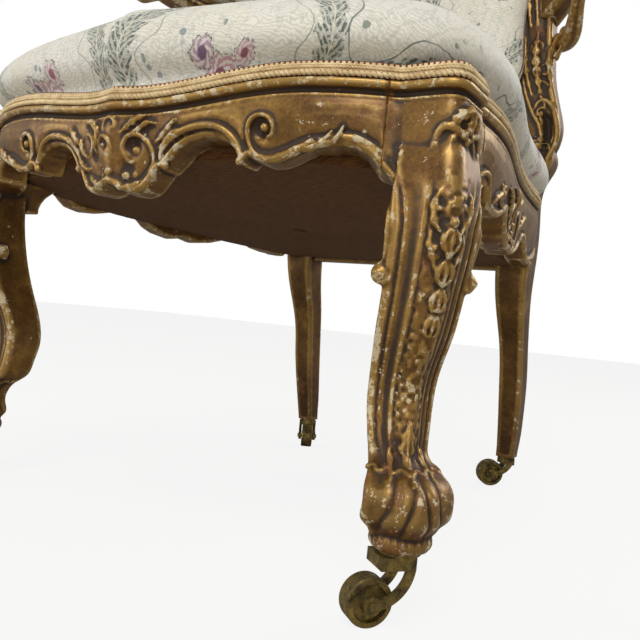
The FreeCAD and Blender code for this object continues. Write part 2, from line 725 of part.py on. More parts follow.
def arm_bracket():
    """The C scroll between the post and the underside of the arm."""
    root_z = size("arm_root_height") - 52
    root = Vector(outer_edge(root_z) + 6, back_plane(root_z), root_z)
    tip, _ = arm_place(0.36)
    tip = tip - Vector(0, 0, size("arm_depth") / 2 + 4)
    belly = root + (tip - root) * 0.25 + Vector(8, 4, -9)
    throat = root + (tip - root) * 0.62 + Vector(4, 6, -6)
    curve = Part.BSplineCurve()
    curve.interpolate(Points=[root, belly, throat, tip])
    wires = []
    for share, wide in ((0.0, 26), (0.3, 24), (0.65, 20), (1.0, 17)):
        place = curve.FirstParameter + share * (curve.LastParameter - curve.FirstParameter)
        wires.append(frame_wire(curve.value(place), curve.tangent(place)[0], wide, wide, wide * 0.3))
    return Part.makeLoft(wires, True, False)


def pad_span():
    """Shares of the arm's length where its padded rest starts and ends."""
    middle = 0.6
    half = size("arm_pad_length") / 2 / ARM_CURVE.length()
    return middle - half, middle + half


PAD_FORM = [
    # share of the pad's length, share of its full height
    (0.0, 0.62), (0.06, 0.86), (0.2, 1.0), (0.5, 1.04), (0.8, 1.0), (0.94, 0.86), (1.0, 0.62),
]


def pad_loft(grow, height, lift):
    """A pad on top of the arm: full in the middle, drawn in at its ends."""
    first, last = pad_span()
    wires = []
    for share, full in PAD_FORM:
        centre, along = arm_place(first + (last - first) * share)
        deep = height * full
        wide = (size("arm_pad_width") + 2 * grow) * (0.55 + 0.45 * full)
        centre = centre + Vector(0, 0, size("arm_depth") / 2 + size("soft_gap") + lift + deep / 2)
        wires.append(frame_wire(centre, along, wide, deep, deep * 0.46))
    return Part.makeLoft(wires, True, False)


def arm_pad():
    return pad_loft(0, size("arm_pad_height"), 0)


def arm_gimp():
    braid = 6
    return pad_loft(2.2, braid, 0).cut(pad_loft(0.2, size("arm_pad_height"), 0))


# Seat upholstery
WALL = [
    # inset from the seat's outer line, height above the rails
    (5, 1.3), (5, 11), (4.2, 16.5), (-2.5, 22.5), (-7.5, 31),
    (-7.5, 41), (-3, 52), (6, 63), (20, 75), (38, 83),
]
CROWN = [
    # share of the seat's plan inside the wall, share of the last rise
    (0.92, 0.32), (0.80, 0.60), (0.64, 0.80), (0.46, 0.92), (0.27, 0.98), (0.10, 1.0),
]


def eased(value, limit, softness):
    """A value that comes up to a limit smoothly and stays under it."""
    return limit - softness * math.log1p(math.exp((limit - value) / softness))


def crown_ring(inset, scale, height, cloth, level=None):
    """A closed line round the seat's form, drawn in by the thickness of what covers it.

    With a level given, the line is flat and lies there.
    """
    count = 48
    crown = size("seat_crown")
    span = OUTLINE.LastParameter - OUTLINE.FirstParameter
    half_depth = (size("rear_edge_back") + size("bow_centre")) / 2
    middle = seat_middle()
    rear = back(size("rear_edge_back") - 1)
    lean = size("seat_rise") / (2 * half_depth) * min(1.0, height / crown) ** 2
    fade = max(0.0, 1 - height / (crown / 2))
    points = []
    for point in outline_points(OUTLINE.FirstParameter, OUTLINE.FirstParameter + span * (count - 1) / count,
                                inset, count - 1):
        x = point.x * scale
        y = middle + (eased(point.y, rear, size("rear_ease")) - middle) * scale
        z = size("rail_top") + height * (1 - cloth / crown) + lean * (y - middle) - dip(x) * fade
        y = middle + (y - middle) * (1 - cloth / half_depth)
        points.append(Vector(x * (1 - cloth / size("side_front_x")), y, z if level is None else level))
    return Part.Wire([spline(points, periodic=True).toShape()])


def crown_skin(cloth):
    """The seat's form as an open skin, and its lower edge."""
    last_inset, last_height = WALL[-1]
    rise = size("seat_crown") - last_height
    rings = [crown_ring(inset, 1, height, cloth) for inset, height in WALL]
    rings += [crown_ring(last_inset, scale, last_height + rise * share, cloth) for scale, share in CROWN]
    sides = Part.makeLoft(rings, False, False, False, 3)
    return sides.Faces + [Part.Face(rings[-1])], rings[0].Edges[0]


def solid_of(faces):
    """The solid that a closed set of faces bounds."""
    shell = Part.makeShell(faces)
    shell.sewShape()
    return Part.makeSolid(shell.Shells[0])


def cleared(solid):
    """A piece of the seat's upholstery with the room for the rear posts cut out."""
    for side in (1, -1):
        solid = solid.cut(post_room(side, size("rail_top") - size("rail_dip") - 2, 2 * size("seat_crown")))
    return solid


def post_room(side, low, height):
    """The room that a rear post needs where it passes the seat."""
    half = size("post_width") / 2 + size("soft_gap") + 1
    wide = 2 * half + size("post_width")
    x = size("post_half") - half if side > 0 else -size("post_half") + half - wide
    return Part.makeBox(wide, wide, height, Vector(x, back(size("post_back")) - half, low))


def seat_housing():
    """The room in a rear post's inner front corner that the seat's rear corner swells into."""
    depth = back(size("housing_back")) - AHEAD
    return Part.makeBox(size("housing_half"), depth, size("housing_height"), Vector(0, AHEAD, size("housing_level")))


def seat_well(low, high, inset):
    """The room inside the rails, clear of the leg heads and posts."""
    well = Part.Face(closed_outline(size("rail_thickness") + inset, low)).extrude(Vector(0, 0, high - low))
    rear = back(size("rear_edge_back") - size("rear_rail_thickness") - inset)
    well = well.common(Part.makeBox(2 * REACH, rear - AHEAD, high, Vector(-REACH, AHEAD, 0)))
    clear = 2 * inset
    for side in (1, -1):
        x = size("rail_joint_x") - clear if side > 0 else -size("rail_joint_x") + clear - REACH
        corner = Part.makeBox(REACH, back(size("rail_joint_back")) + clear - AHEAD, high, Vector(x, AHEAD, 0))
        well = well.cut(corner)
        well = well.cut(post_room(side, 0, high))
    return well


def web_top():
    return size("web_level") + 2 * size("web_thickness") + size("soft_gap")


def web_places(middle):
    count = int(size("web_count"))
    return [middle + (index - (count - 1) / 2) * size("web_pitch") for index in range(count)]


def seat_middle():
    return back((size("rear_edge_back") - size("bow_centre")) / 2)


def seat_webbing():
    """Straps from side to side, and straps from front to back over them."""
    width = size("web_width")
    thick = size("web_thickness")
    low = size("web_level")
    straps = []
    for y in web_places(seat_middle()):
        straps.append(Part.makeBox(2 * REACH, width, thick, Vector(-REACH, y - width / 2, low)))
    high = low + thick + size("soft_gap")
    for x in web_places(0):
        straps.append(Part.makeBox(width, 2 * REACH, thick, Vector(x - width / 2, -REACH, high)))
    well = seat_well(low - 1, web_top() + 1, size("soft_gap"))
    return Part.makeCompound([strap.common(well).Solids[0] for strap in straps])


def spring_shape():
    """One open coil: half turns that climb at a steady rate."""
    radius = size("spring_radius")
    wire_radius = size("spring_wire") / 2
    halves = 2 * int(size("spring_turns"))
    low = web_top() + wire_radius
    rise = (size("spring_height") - 2 * wire_radius) / halves
    arcs = []
    for index in range(halves):
        side = 1 if index % 2 == 0 else -1
        level = low + index * rise
        arcs.append(Part.Arc(Vector(side * radius, 0, level), Vector(0, side * radius, level + rise / 2),
                             Vector(-side * radius, 0, level + rise)).toShape())
    path = Part.Wire(arcs)
    ring = Part.Wire([Part.makeCircle(wire_radius, Vector(radius, 0, low), Vector(0, 1, 0))])
    return path.makePipeShell([ring], True, False)


def seat_springs():
    """One spring where each pair of straps crosses."""
    spring = spring_shape()
    coils = []
    for y in web_places(seat_middle()):
        for x in web_places(0):
            coil = spring.copy()
            coil.translate(Vector(x, y, 0))
            coils.append(coil)
    return Part.makeCompound(coils)


def spring_top():
    return web_top() + size("spring_height")


def spring_hessian():
    """Coarse cloth over the springs."""
    return seat_well(spring_top(), spring_top() + 1, 6)


def seat_stuffing():
    """The filling under the cover, open below where the springs and the hessian are."""
    cloth = size("cover_thickness") + size("soft_gap")
    low = size("rail_top") - size("rail_dip") - 1
    faces, edge = crown_skin(cloth)
    base = crown_ring(WALL[0][0], 1, WALL[0][1], cloth, low)
    faces += Part.makeRuledSurface(edge, base.Edges[0]).Faces + [Part.Face(base)]
    solid = solid_of(faces).cut(below_dip(size("rail_top")))
    return cleared(solid).cut(seat_well(low - 1, spring_top() + 1 + size("soft_gap"), 2))


def seat_cover():
    """The cloth over the seat: an outer and an inner skin that meet along the lower edge."""
    outer, outer_edge = crown_skin(0)
    inner, inner_edge = crown_skin(size("cover_thickness"))
    return cleared(solid_of(outer + inner + Part.makeRuledSurface(outer_edge, inner_edge).Faces))


def band(outer, inner, low, high):
    """A closed ring round the seat between two insets."""
    big = Part.Face(closed_outline(outer, low)).extrude(Vector(0, 0, high - low))
    small = Part.Face(closed_outline(inner, low)).extrude(Vector(0, 0, high - low))
    ring = big.cut(small)
    for side in (1, -1):
        ring = ring.cut(post_room(side, low - 1, high - low + 2))
    rear = back(POST_FRONT)
    return ring.common(Part.makeBox(2 * REACH, rear - AHEAD, high, Vector(-REACH, AHEAD, 0)))


def seat_gimp():
    low = size("rail_top") + size("soft_gap")
    high = low + size("gimp_height")
    inner = 2
    ring = band(inner - size("gimp_thickness"), inner, low - size("rail_dip") - 1, high + 1)
    return dipped(ring, low, high)


def dust_cover():
    """Brown cloth tacked inside the rails, lower at the back and sagging a little."""
    front = back(-size("bow_centre"))
    rear = back(size("rear_edge_back"))
    thick = size("dust_thickness")
    middle = (front + rear) / 2
    level = (size("dust_front") + size("dust_rear")) / 2 - size("dust_sag")
    low = [Vector(0, front, size("dust_front")), Vector(0, middle, level), Vector(0, rear, size("dust_rear"))]
    high = [p + Vector(0, 0, thick) for p in reversed(low)]
    wire = Part.Wire([spline(low).toShape(), straight(low[-1], high[0]), spline(high).toShape(),
                      straight(high[-1], low[0])])
    sheet = Part.Face(wire)
    sheet.translate(Vector(-REACH, 0, 0))
    sheet = sheet.extrude(Vector(2 * REACH, 0, 0))
    return sheet.common(seat_well(size("dust_rear") - 20, size("dust_front") + 20, size("soft_gap")))


# Back upholstery
def inner_face(inset):
    """The opening of the back frame, grown outwards by an inset over the frame."""
    points = []
    middle = Vector(0, 0, (size("back_rail_high") + size("crest_height") - 62) / 2)
    for point in back_inner():
        away = Vector(point.x, 0, point.z - middle.z)
        if away.Length > 0:
            away.normalize()
        points.append(point + away * inset)
    points[0].x = 0
    points[-1].x = 0
    return opening_wire(points)


BACK_PAD_FORM = [
    # share of the pad's outline, share of its depth
    (1.0, 0.0), (1.0, 0.28), (0.97, 0.5), (0.91, 0.7), (0.8, 0.85), (0.6, 0.95), (0.3, 1.0),
]


def back_pad_loft(inset, front, rear):
    """A pad in the plane of the back: full in the middle, drawn in at its edge."""
    depth = front - rear
    middle = Vector(0, 0, (size("back_rail_high") + size("crest_height") - 62) / 2)
    wires = []
    for scale, share in BACK_PAD_FORM:
        wire = inner_face(inset)
        if scale < 1:
            wire = wire.scaled(scale, middle)
        wire.translate(Vector(0, -(rear + depth * share), 0))
        wires.append(wire)
    return Part.makeLoft(wires, True, False, False, 3)


def back_upholstery(label):
    half = size("back_thickness") / 2
    cloth = size("back_cloth")
    gap = size("soft_gap")
    inset = size("back_rebate")
    front = half + size("back_pad_depth")
    if label == "back_pad":
        return raked(back_pad_loft(inset - cloth - gap, front - cloth - gap, half + gap))
    if label == "back_cover":
        outer = back_pad_loft(inset, front, half + gap)
        return raked(outer.cut(back_pad_loft(inset - cloth, front - cloth, half + gap)))
    if label == "outside_back_cover":
        face = Part.Face(inner_face(inset - 2))
        face.translate(Vector(0, half + gap, 0))
        return raked(face.extrude(Vector(0, cloth, 0)))
    if label == "back_gimp":
        outer = Part.Face(inner_face(inset + 8)).extrude(Vector(0, size("gimp_thickness"), 0))
        hole = Part.Face(inner_face(inset + gap)).extrude(Vector(0, size("gimp_thickness"), 0))
        braid = outer.cut(hole)
        braid.translate(Vector(0, -half - gap - size("gimp_thickness"), 0))
        return raked(braid)
    thick = size("web_thickness")
    width = size("web_width")
    hole = Part.Face(inner_face(-gap)).extrude(Vector(0, thick, 0))
    straps = []
    low = size("back_rail_high") + 30
    for index in range(4):
        level = low + index * (size("web_pitch") - 2)
        strap = Part.makeBox(2 * REACH, thick, width, Vector(-REACH, 0, level))
        straps.append(strap.common(hole))
    webs = Part.makeCompound([solid for strap in straps for solid in strap.Solids])
    webs.translate(Vector(0, -half + 4, 0))
    return raked(webs)


# Small joinery
def dowel_pair(middle, along, spread):
    """Two dowels through a joint."""
    radius = size("dowel_radius")
    length = size("dowel_length")
    along = Vector(along).normalize()
    dowels = []
    for sign in (1, -1):
        start = middle + spread * (sign * size("dowel_spacing") / 2) - along * (length / 2)
        dowels.append(Part.makeCylinder(radius, length, start, along))
    return dowels


def joint_dowels():
    """Two dowels, one over the other, in every joint of the seat frame."""
    level = size("rail_top") - size("joint_drop") / 2
    upright = Vector(0, 0, 1)
    post_x = size("post_half") - size("post_width") / 2
    rear_y = back(size("rear_edge_back")) - size("rear_rail_thickness") / 2
    joints = [(Vector(post_x, rear_y, level), Vector(1, 0, 0))]
    for place, share in ((FRONT_JOINT, 0.5), (SIDE_JOINT, 0.5), (REAR_JOINT, 0.72)):
        along = OUTLINE.tangent(place)[0]
        inward = Vector(-along.y, along.x, 0)
        middle = OUTLINE.value(place) + inward * (size("rail_thickness") * share)
        joints.append((Vector(middle.x, middle.y, level), along))
    dowels = []
    for middle, along in joints:
        pair = dowel_pair(middle, along, upright)
        dowels += pair + [mirrored(dowel) for dowel in pair]
    return dowels


def corner_block(x, y, turn):
    """A three-cornered block glued and screwed inside a corner of the seat frame."""
    leg = size("block_leg")
    low = size("block_top") - size("block_height")
    corners = [Vector(0, 0, low), Vector(leg, 0, low), Vector(0, leg, low), Vector(0, 0, low)]
    face = Part.Face(Part.makePolygon(corners))
    block = face.extrude(Vector(0, 0, size("block_height")))
    block.rotate(Vector(0, 0, 0), Vector(0, 0, 1), turn)
    block.translate(Vector(x, y, 0))
    return block


# Casters
CASTERS = [
    # name, front or rear, side, direction of the trail in degrees from +X
    ("front_right", "front", 1, -129),
    ("front_left", "front", -1, -100),
    ("rear_right", "rear", 1, -146),
    ("rear_left", "rear", -1, -56),
]
PIN_HOLE = "Sizes.pin_radius + Sizes.running_gap"
XZ_PLANE = "XZ_Plane"


def polygon_sketch(body, name, plane, points):
    """A closed sketch whose corners are tied to the sheet; each corner is a pair of expressions."""
    sketch = body.newObject("Sketcher::SketchObject", name)
    origin = [item for item in body.Origin.OriginFeatures if item.Role == plane][0]
    sketch.AttachmentSupport = [(origin, "")]
    sketch.MapMode = "FlatFace"
    values = [tuple(float(SHEET.evalExpression(text)) for text in point) for point in points]
    count = len(points)
    for index in range(count):
        start = Vector(*values[index], 0)
        end = Vector(*values[(index + 1) % count], 0)
        sketch.addGeometry(Part.LineSegment(start, end))
    for index in range(count):
        sketch.addConstraint(Sketcher.Constraint("Coincident", index, 2, (index + 1) % count, 1))
    for index, (across, up) in enumerate(points):
        for kind, text, value in (("DistanceX", across, values[index][0]), ("DistanceY", up, values[index][1])):
            place = sketch.addConstraint(Sketcher.Constraint(kind, -1, 1, index, 1, value))
            sketch.setExpression(f"Constraints[{place}]", text)
    return sketch


def turned_body(label, name, points):
    """A piece turned on a lathe: a half section in the XZ plane, spun round Z."""
    body = DOC.addObject("PartDesign::Body", label)
    body.Label = label
    sketch = polygon_sketch(body, name + "_section", XZ_PLANE, points)
    spin = body.newObject("PartDesign::Revolution", name + "_turned")
    spin.Profile = sketch
    spin.ReferenceAxis = (sketch, ["V_Axis"])
    spin.Angle = 360
    sketch.Visibility = False
    return body


def caster_foot(place, side):
    """Middle of the underside of the foot that a caster carries."""
    if place == "front":
        foot = leg_centre(size("front_ring_base"), 0)
    else:
        foot = rear_foot()
    return Vector(side * foot.x, foot.y, foot.z)


def caster_turn(place, side, trail):
    """From a caster's own frame (Z on the swivel axis, X along the trail) to the chair's."""
    foot = caster_foot(place, side)
    return Placement(Vector(foot.x, foot.y, 0), Rotation(Vector(0, 0, 1), trail))


def axle_placement():
    """The axle in a caster's own frame: lying across the trail, a wheel's radius above the floor."""
    return Placement(Vector(size("trail"), 0, size("wheel_radius")), Rotation(Vector(1, 0, 0), 90))


def wheel_points():
    """Half section of a wheel: bore, hub, dished faces, rim and a tread with broken corners."""
    bore = "Sizes.axle_radius + Sizes.running_gap"
    half = "Sizes.wheel_width / 2"
    rim = "Sizes.wheel_radius - Sizes.wheel_rim"
    web = "Sizes.wheel_width / 2 - Sizes.wheel_dish"
    lower = [
        (bore, f"-({half})"), ("Sizes.hub_radius", f"-({half})"), ("Sizes.hub_radius + 1", f"-({web})"),
        (f"{rim} - 1", f"-({web})"), (rim, f"-({half})"), ("Sizes.wheel_radius - 1", f"-({half})"),
        ("Sizes.wheel_radius", f"-({half}) + 1.5"),
    ]
    upper = [(across, text[1:] if text.endswith(")") else f"{half} - 1.5") for across, text in reversed(lower)]
    return lower + upper


def caster_wheel(label, turn):
    wheel = turned_body(label, label, wheel_points())
    wheel.Placement = turn * axle_placement()
    return wheel


def fork_half_width():
    return size("wheel_width") / 2 + size("fork_gap") + size("fork_arm")


def caster_axle(label, turn):
    """A pin through both arms with a square end on each side."""
    pin = DOC.addObject("Part::Cylinder", label + "_pin")
    pin.setExpression("Radius", "Sizes.axle_radius")
    pin.setExpression("Height", "Sizes.wheel_width + 2 * Sizes.fork_gap + 2 * Sizes.fork_arm + 1")
    pin.setExpression("Placement.Base.z", "-(Sizes.wheel_width / 2 + Sizes.fork_gap + Sizes.fork_arm + 0.5)")
    ends = []
    for name, text in (("low", "-(Sizes.wheel_width / 2 + Sizes.fork_gap + Sizes.fork_arm + 2)"),
                       ("high", "Sizes.wheel_width / 2 + Sizes.fork_gap + Sizes.fork_arm")):
        square = DOC.addObject("Part::Box", f"{label}_{name}")
        for side in ("Length", "Width"):
            square.setExpression(side, "Sizes.axle_radius * 2.4")
        square.Height = 2
        for across in ("x", "y"):
            square.setExpression(f"Placement.Base.{across}", "-Sizes.axle_radius * 1.2")
        square.setExpression("Placement.Base.z", text)
        ends.append(square)
    axle = DOC.addObject("Part::MultiFuse", label)
    axle.Label = label
    axle.Shapes = [pin] + ends
    axle.Placement = turn * axle_placement()
    return axle


FORKS = {
    # place: how far the block reaches over the wheel, height of the block as a share of fork_block
    "front": (20, 1.1),
    "rear": (6, 0.9),
}


def caster_fork(label, place, turn):
    """Block and swivel pin over two swan neck arms that end in the axle's eyes."""
    foot = caster_foot(place, 1)
    top = foot.z - size("plate_thickness") - size("face_gap")
    reach, share = FORKS[place]
    height = size("fork_block") * share
    half = fork_half_width()
    radius = size("fork_head_radius")
    front = -(radius - 4)
    outer = size("trail") - front
    inner = outer - size("fork_band")
    level = size("wheel_radius") + (outer + inner) / 2
    middle = Vector(size("trail"), -half, level)
    across = Vector(0, 1, 0)
    sector = Part.makeCylinder(outer, 2 * half, middle, across)
    sector = sector.cut(Part.makeCylinder(inner, 2 * half, middle, across))
    sector = sector.common(Part.makeBox(outer + 1, 2 * half, top - 1, Vector(front - 1, -half, 0)))
    axle_end = Vector(size("trail"), -half, size("wheel_radius"))
    eye = Part.makeCylinder(size("fork_band"), 2 * half, axle_end, across)
    arms = sector.fuse(eye)
    inside = half - size("fork_arm")
    arms = arms.cut(Part.makeBox(3 * outer, 2 * inside, top, Vector(-outer, -inside, 0)))
    block = Part.makeBox(reach - front, 2 * half, height, Vector(front, -half, top - height))
    head = Part.makeCylinder(radius, height * 0.8, Vector(0, 0, top - height * 0.8))
    pin = Part.makeCylinder(size("pin_radius"), size("plate_thickness") + size("pin_length") + height,
                            Vector(0, 0, top - height))
    fork = joined([arms, block, head, pin])
    hole = Part.makeCylinder(size("axle_radius"), 2 * half, axle_end, across)
    return piece(label, fork.cut(hole), turn)


def plate_text(place):
    return "Sizes.plate_radius" if place == "front" else "Sizes.rear_plate_radius"


def caster_socket(label, place, side, turn):
    """Plate under the foot and the closed sleeve in the leg, in which the swivel pin turns."""
    base = caster_foot(place, side).z
    plate = DOC.addObject("Part::Cylinder", label + "_plate")
    plate.setExpression("Radius", plate_text(place))
    plate.setExpression("Height", "Sizes.plate_thickness")
    plate.setExpression("Placement.Base.z", f"{base} - Sizes.plate_thickness")
    sleeve = DOC.addObject("Part::Cylinder", label + "_sleeve")
    sleeve.setExpression("Radius", PIN_HOLE + " + Sizes.sleeve_wall")
    sleeve.setExpression("Height", "Sizes.pin_length + Sizes.face_gap + Sizes.sleeve_wall")
    sleeve.Placement.Base.z = base
    bore = DOC.addObject("Part::Cylinder", label + "_bore")
    bore.setExpression("Radius", PIN_HOLE)
    bore.setExpression("Height", "Sizes.pin_length + Sizes.face_gap + Sizes.plate_thickness")
    bore.setExpression("Placement.Base.z", f"{base} - Sizes.plate_thickness")
    body = DOC.addObject("Part::MultiFuse", label + "_body")
    body.Shapes = [plate, sleeve]
    cut = DOC.addObject("Part::Cut", label + "_bored")
    cut.Base = body
    cut.Tool = bore
    DOC.recompute()
    holes = screw_shapes(place, 0)
    return piece(label, cut.Shape.cut(Part.makeCompound(holes)), turn)


def screw_shapes(place, lift):
    """Three wood screws through a caster plate, in the caster's own frame."""
    radius = size("screw_radius")
    base = caster_foot(place, 1).z
    plate = size(plate_text(place).split(".")[1])
    sleeve = size("pin_radius") + size("running_gap") + size("sleeve_wall")
    ring = (plate + sleeve) / 2
    screws = []
    for index in range(3):
        angle = math.radians(120 * index + 60)
        foot = Vector(ring * math.cos(angle), ring * math.sin(angle), base - size("plate_thickness") + lift)
        head = Part.makeCone(radius * 1.8, radius, size("plate_thickness") * 0.8, foot)
        shank = Part.makeCylinder(radius, size("screw_length"), foot)
        screws.append(head.fuse(shank))
    return screws


def build_casters():
    screws = []
    for name, place, side, trail in CASTERS:
        turn = caster_turn(place, side, trail)
        keep(caster_socket(f"caster_socket_{name}", place, side, turn))
        keep(caster_fork(f"caster_fork_{name}", place, turn))
        keep(caster_wheel(f"caster_wheel_{name}", turn))
        keep(caster_axle(f"caster_axle_{name}", turn))
        for screw in screw_shapes(place, 0):
            screw.Placement = turn
            screws.append(screw)
    return screws


# Putting the chair together
def bored(shape, tools):
    """A wooden piece with the holes for the pegs and screws that go into it."""
    touching = [tool for tool in tools if tool.BoundBox.intersect(shape.BoundBox)]
    if not touching:
        return shape
    return shape.cut(Part.makeCompound(touching))


def place_corner_blocks():
    """Blocks in the four corners of the frame, trimmed to the rails and legs round them."""
    well = seat_well(size("block_top") - size("block_height") - 1, size("block_top") + 1, 0)
    front_x = size("rail_joint_x")
    front_y = back(-size("bow_end") + size("rail_thickness") - 8)
    rear_x = size("post_half") - size("post_width") / 2
    rear_y = back(size("rear_edge_back") - size("rear_rail_thickness"))
    blocks = []
    for x, y, turn in ((front_x + 6, front_y, 90), (rear_x + 6, rear_y, 180)):
        block = corner_block(x, y, turn).common(well)
        blocks.append(block.Solids[0])
        blocks.append(mirrored(block.Solids[0]))
    return blocks


def block_screws(blocks):
    """A screw through each corner block, square to its long face."""
    radius = size("block_screw_radius")
    length = size("block_screw_length")
    screws = []
    for block in blocks:
        middle = block.CenterOfMass
        outwards = Vector(1 if middle.x > 0 else -1, -1 if middle.y < 0 else 1, 0).normalize()
        start = middle - outwards * (length * 0.3)
        screws.append(Part.makeCylinder(radius, length * 0.8, start, outwards))
    return screws


def cover_tacks():
    """Round headed tacks along the sides of the dust cover, driven into the rails."""
    well_inset = size("rail_thickness") + size("soft_gap")
    tacks = []
    span = REAR_JOINT - SIDE_JOINT
    count = 9
    for index in range(count):
        share = (index + 0.7) / count
        place = SIDE_JOINT + span * share
        along = OUTLINE.tangent(place)[0]
        inward = Vector(-along.y, along.x, 0)
        foot = OUTLINE.value(place) + inward * well_inset
        depth = (foot.y - back(-size("bow_centre"))) / (size("rear_edge_back") + size("bow_centre"))
        foot.z = size("dust_front") + (size("dust_rear") - size("dust_front")) * depth + 3
        head = Part.makeCylinder(size("tack_radius"), 1, foot, inward)
        shank = Part.makeCylinder(size("tack_radius") / 4, size("tack_length"), foot, inward * -1)
        tacks.append(head.fuse(shank))
    return tacks + [mirrored(tack) for tack in tacks]


def build_chair():
    foot_screws = build_casters()
    dowels = joint_dowels()
    blocks = place_corner_blocks()
    screws = block_screws(blocks)
    tacks = cover_tacks()
    pegs = dowels + screws + foot_screws + tacks
    post = rear_post()
    rails = {
        "front_rail": front_rail(),
        "rear_rail": rear_rail().cut(post).cut(mirrored(post)),
        "side_rail_right": side_rail().cut(post),
        "front_leg_right": front_leg(),
        "rear_post_right": post,
    }
    for label in ("side_rail", "front_leg", "rear_post"):
        rails[label + "_left"] = mirrored(rails[label + "_right"])
    for label, shape in rails.items():
        keep(piece(label, bored(shape, pegs)))
    keep(piece("crest_rail", crest_rail()))
    keep(piece("lower_back_rail", lower_back_rail()))
    right_arm = arm().cut(post)
    right_bracket = arm_bracket().cut(post).cut(right_arm)
    for side in ("right", "left"):
        for label, shape in (("arm", right_arm), ("arm_bracket", right_bracket),
                             ("arm_pad", arm_pad().cut(right_arm)), ("arm_gimp", arm_gimp().cut(right_arm))):
            keep(piece(f"{label}_{side}", shape if side == "right" else mirrored(shape)))
    keep(piece("corner_blocks", Part.makeCompound([bored(block, screws) for block in blocks])))
    keep(piece("corner_block_screws", Part.makeCompound(screws)))
    keep(piece("joint_dowels", Part.makeCompound(dowels)))
    keep(piece("caster_screws", Part.makeCompound(foot_screws)))
    keep(piece("dust_cover_tacks", Part.makeCompound(tacks)))
    for label, maker in (("seat_webbing", seat_webbing), ("seat_springs", seat_springs),
                         ("spring_hessian", spring_hessian), ("seat_stuffing", seat_stuffing),
                         ("seat_cover", seat_cover), ("seat_gimp", seat_gimp), ("dust_cover", dust_cover)):
        keep(piece(label, maker()))
    for label in ("back_pad", "back_cover", "outside_back_cover", "back_gimp", "back_webbing"):
        keep(piece(label, back_upholstery(label)))


def check_and_write():
    DOC.recompute()
    for obj in DOC.Objects:
        if "Invalid" in obj.State or "Error" in obj.State:
            raise RuntimeError(f"{obj.Label} did not build: {obj.State}")
    os.makedirs("parts", exist_ok=True)
    for obj in PARTS:
        shape = obj.Shape
        if shape.isNull() or not shape.isValid() or not shape.Solids:
            raise RuntimeError(f"{obj.Label} has no sound shape")
        shape.exportStep(f"parts/{obj.Label}.step")
        print(f"{obj.Label}: {len(shape.Solids)} solids, {shape.Volume / 1000:.1f} cm3")


build_chair()
check_and_write()
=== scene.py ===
import math

import bpy
import numpy as np
from mathutils import Matrix, Vector
from mathutils.bvhtree import BVHTree
from mathutils.kdtree import KDTree


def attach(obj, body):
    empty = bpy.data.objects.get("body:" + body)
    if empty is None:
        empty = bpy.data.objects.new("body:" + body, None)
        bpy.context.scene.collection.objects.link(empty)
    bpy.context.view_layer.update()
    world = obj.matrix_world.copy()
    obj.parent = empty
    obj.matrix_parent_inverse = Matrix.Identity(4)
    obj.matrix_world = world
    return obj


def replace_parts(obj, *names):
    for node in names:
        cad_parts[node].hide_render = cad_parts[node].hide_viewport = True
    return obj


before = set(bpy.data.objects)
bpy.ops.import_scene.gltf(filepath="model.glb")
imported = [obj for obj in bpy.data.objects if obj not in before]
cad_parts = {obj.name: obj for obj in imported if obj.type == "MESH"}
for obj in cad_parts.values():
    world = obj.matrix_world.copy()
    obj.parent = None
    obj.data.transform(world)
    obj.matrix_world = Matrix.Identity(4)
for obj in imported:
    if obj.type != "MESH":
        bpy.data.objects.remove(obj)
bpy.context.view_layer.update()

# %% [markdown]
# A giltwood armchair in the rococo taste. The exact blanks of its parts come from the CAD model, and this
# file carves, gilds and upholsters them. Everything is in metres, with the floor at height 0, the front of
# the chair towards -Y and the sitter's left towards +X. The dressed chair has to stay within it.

MM = 0.001


def placed(name, data):
    """A new object in the scene."""
    thing = bpy.data.objects.new(name, data)
    bpy.context.scene.collection.objects.link(thing)
    return thing


# %% [markdown]
# The chair is seen from in front of its right corner and from low down, so that the brown cloth under the
# seat shows. Place, turn, lens and the small shift follow from matching the rails and feet to the picture.
# A camera looks along its own -Z, so its matrix holds the directions to the right, up and backwards.

# %% Camera
VIEW_PLACE = Vector((0.4974, -0.76383, 0.22786))
VIEW_YAW = 0.54206
VIEW_PITCH = 0.00852
VIEW_ROLL = 0.10014


def view_axes(yaw, pitch, roll):
    """Right, up and forward of a camera."""
    forward = Vector((-math.sin(yaw) * math.cos(pitch), math.cos(yaw) * math.cos(pitch), math.sin(pitch)))
    level = Vector((math.cos(yaw), math.sin(yaw), 0))
    upright = level.cross(forward)
    right = math.cos(roll) * level + math.sin(roll) * upright
    up = math.cos(roll) * upright - math.sin(roll) * level
    return right, up, forward


right, up, forward = view_axes(VIEW_YAW, VIEW_PITCH, VIEW_ROLL)
lens = bpy.data.cameras.new("view")
lens.lens = 39.54
lens.shift_x = -0.0217
lens.shift_y = -0.0097
lens.clip_start = 0.01
view = placed("view", lens)
view.matrix_world = Matrix((
    (right.x, up.x, -forward.x, VIEW_PLACE.x),
    (right.y, up.y, -forward.y, VIEW_PLACE.y),
    (right.z, up.z, -forward.z, VIEW_PLACE.z),
    (0, 0, 0, 1),
))
bpy.context.scene.camera = view
bpy.context.scene.view_settings.view_transform = "Standard"
print("camera", tuple(round(value, 3) for value in VIEW_PLACE))

# %% [markdown]
# A finish is easier to read as sums than as boxes and wires. Shade wraps one output of a shader node, and
# its operators add the Math nodes. Finish makes every other node with one method that takes its type, its
# settings and its values or links.

# %% Shader sums
def sign(operation, swapped=False):
    """A method that stands for one arithmetic sign and adds its Math node."""
    def method(self, other):
        return self.sum(operation, other, self) if swapped else self.sum(operation, self, other)

    return method


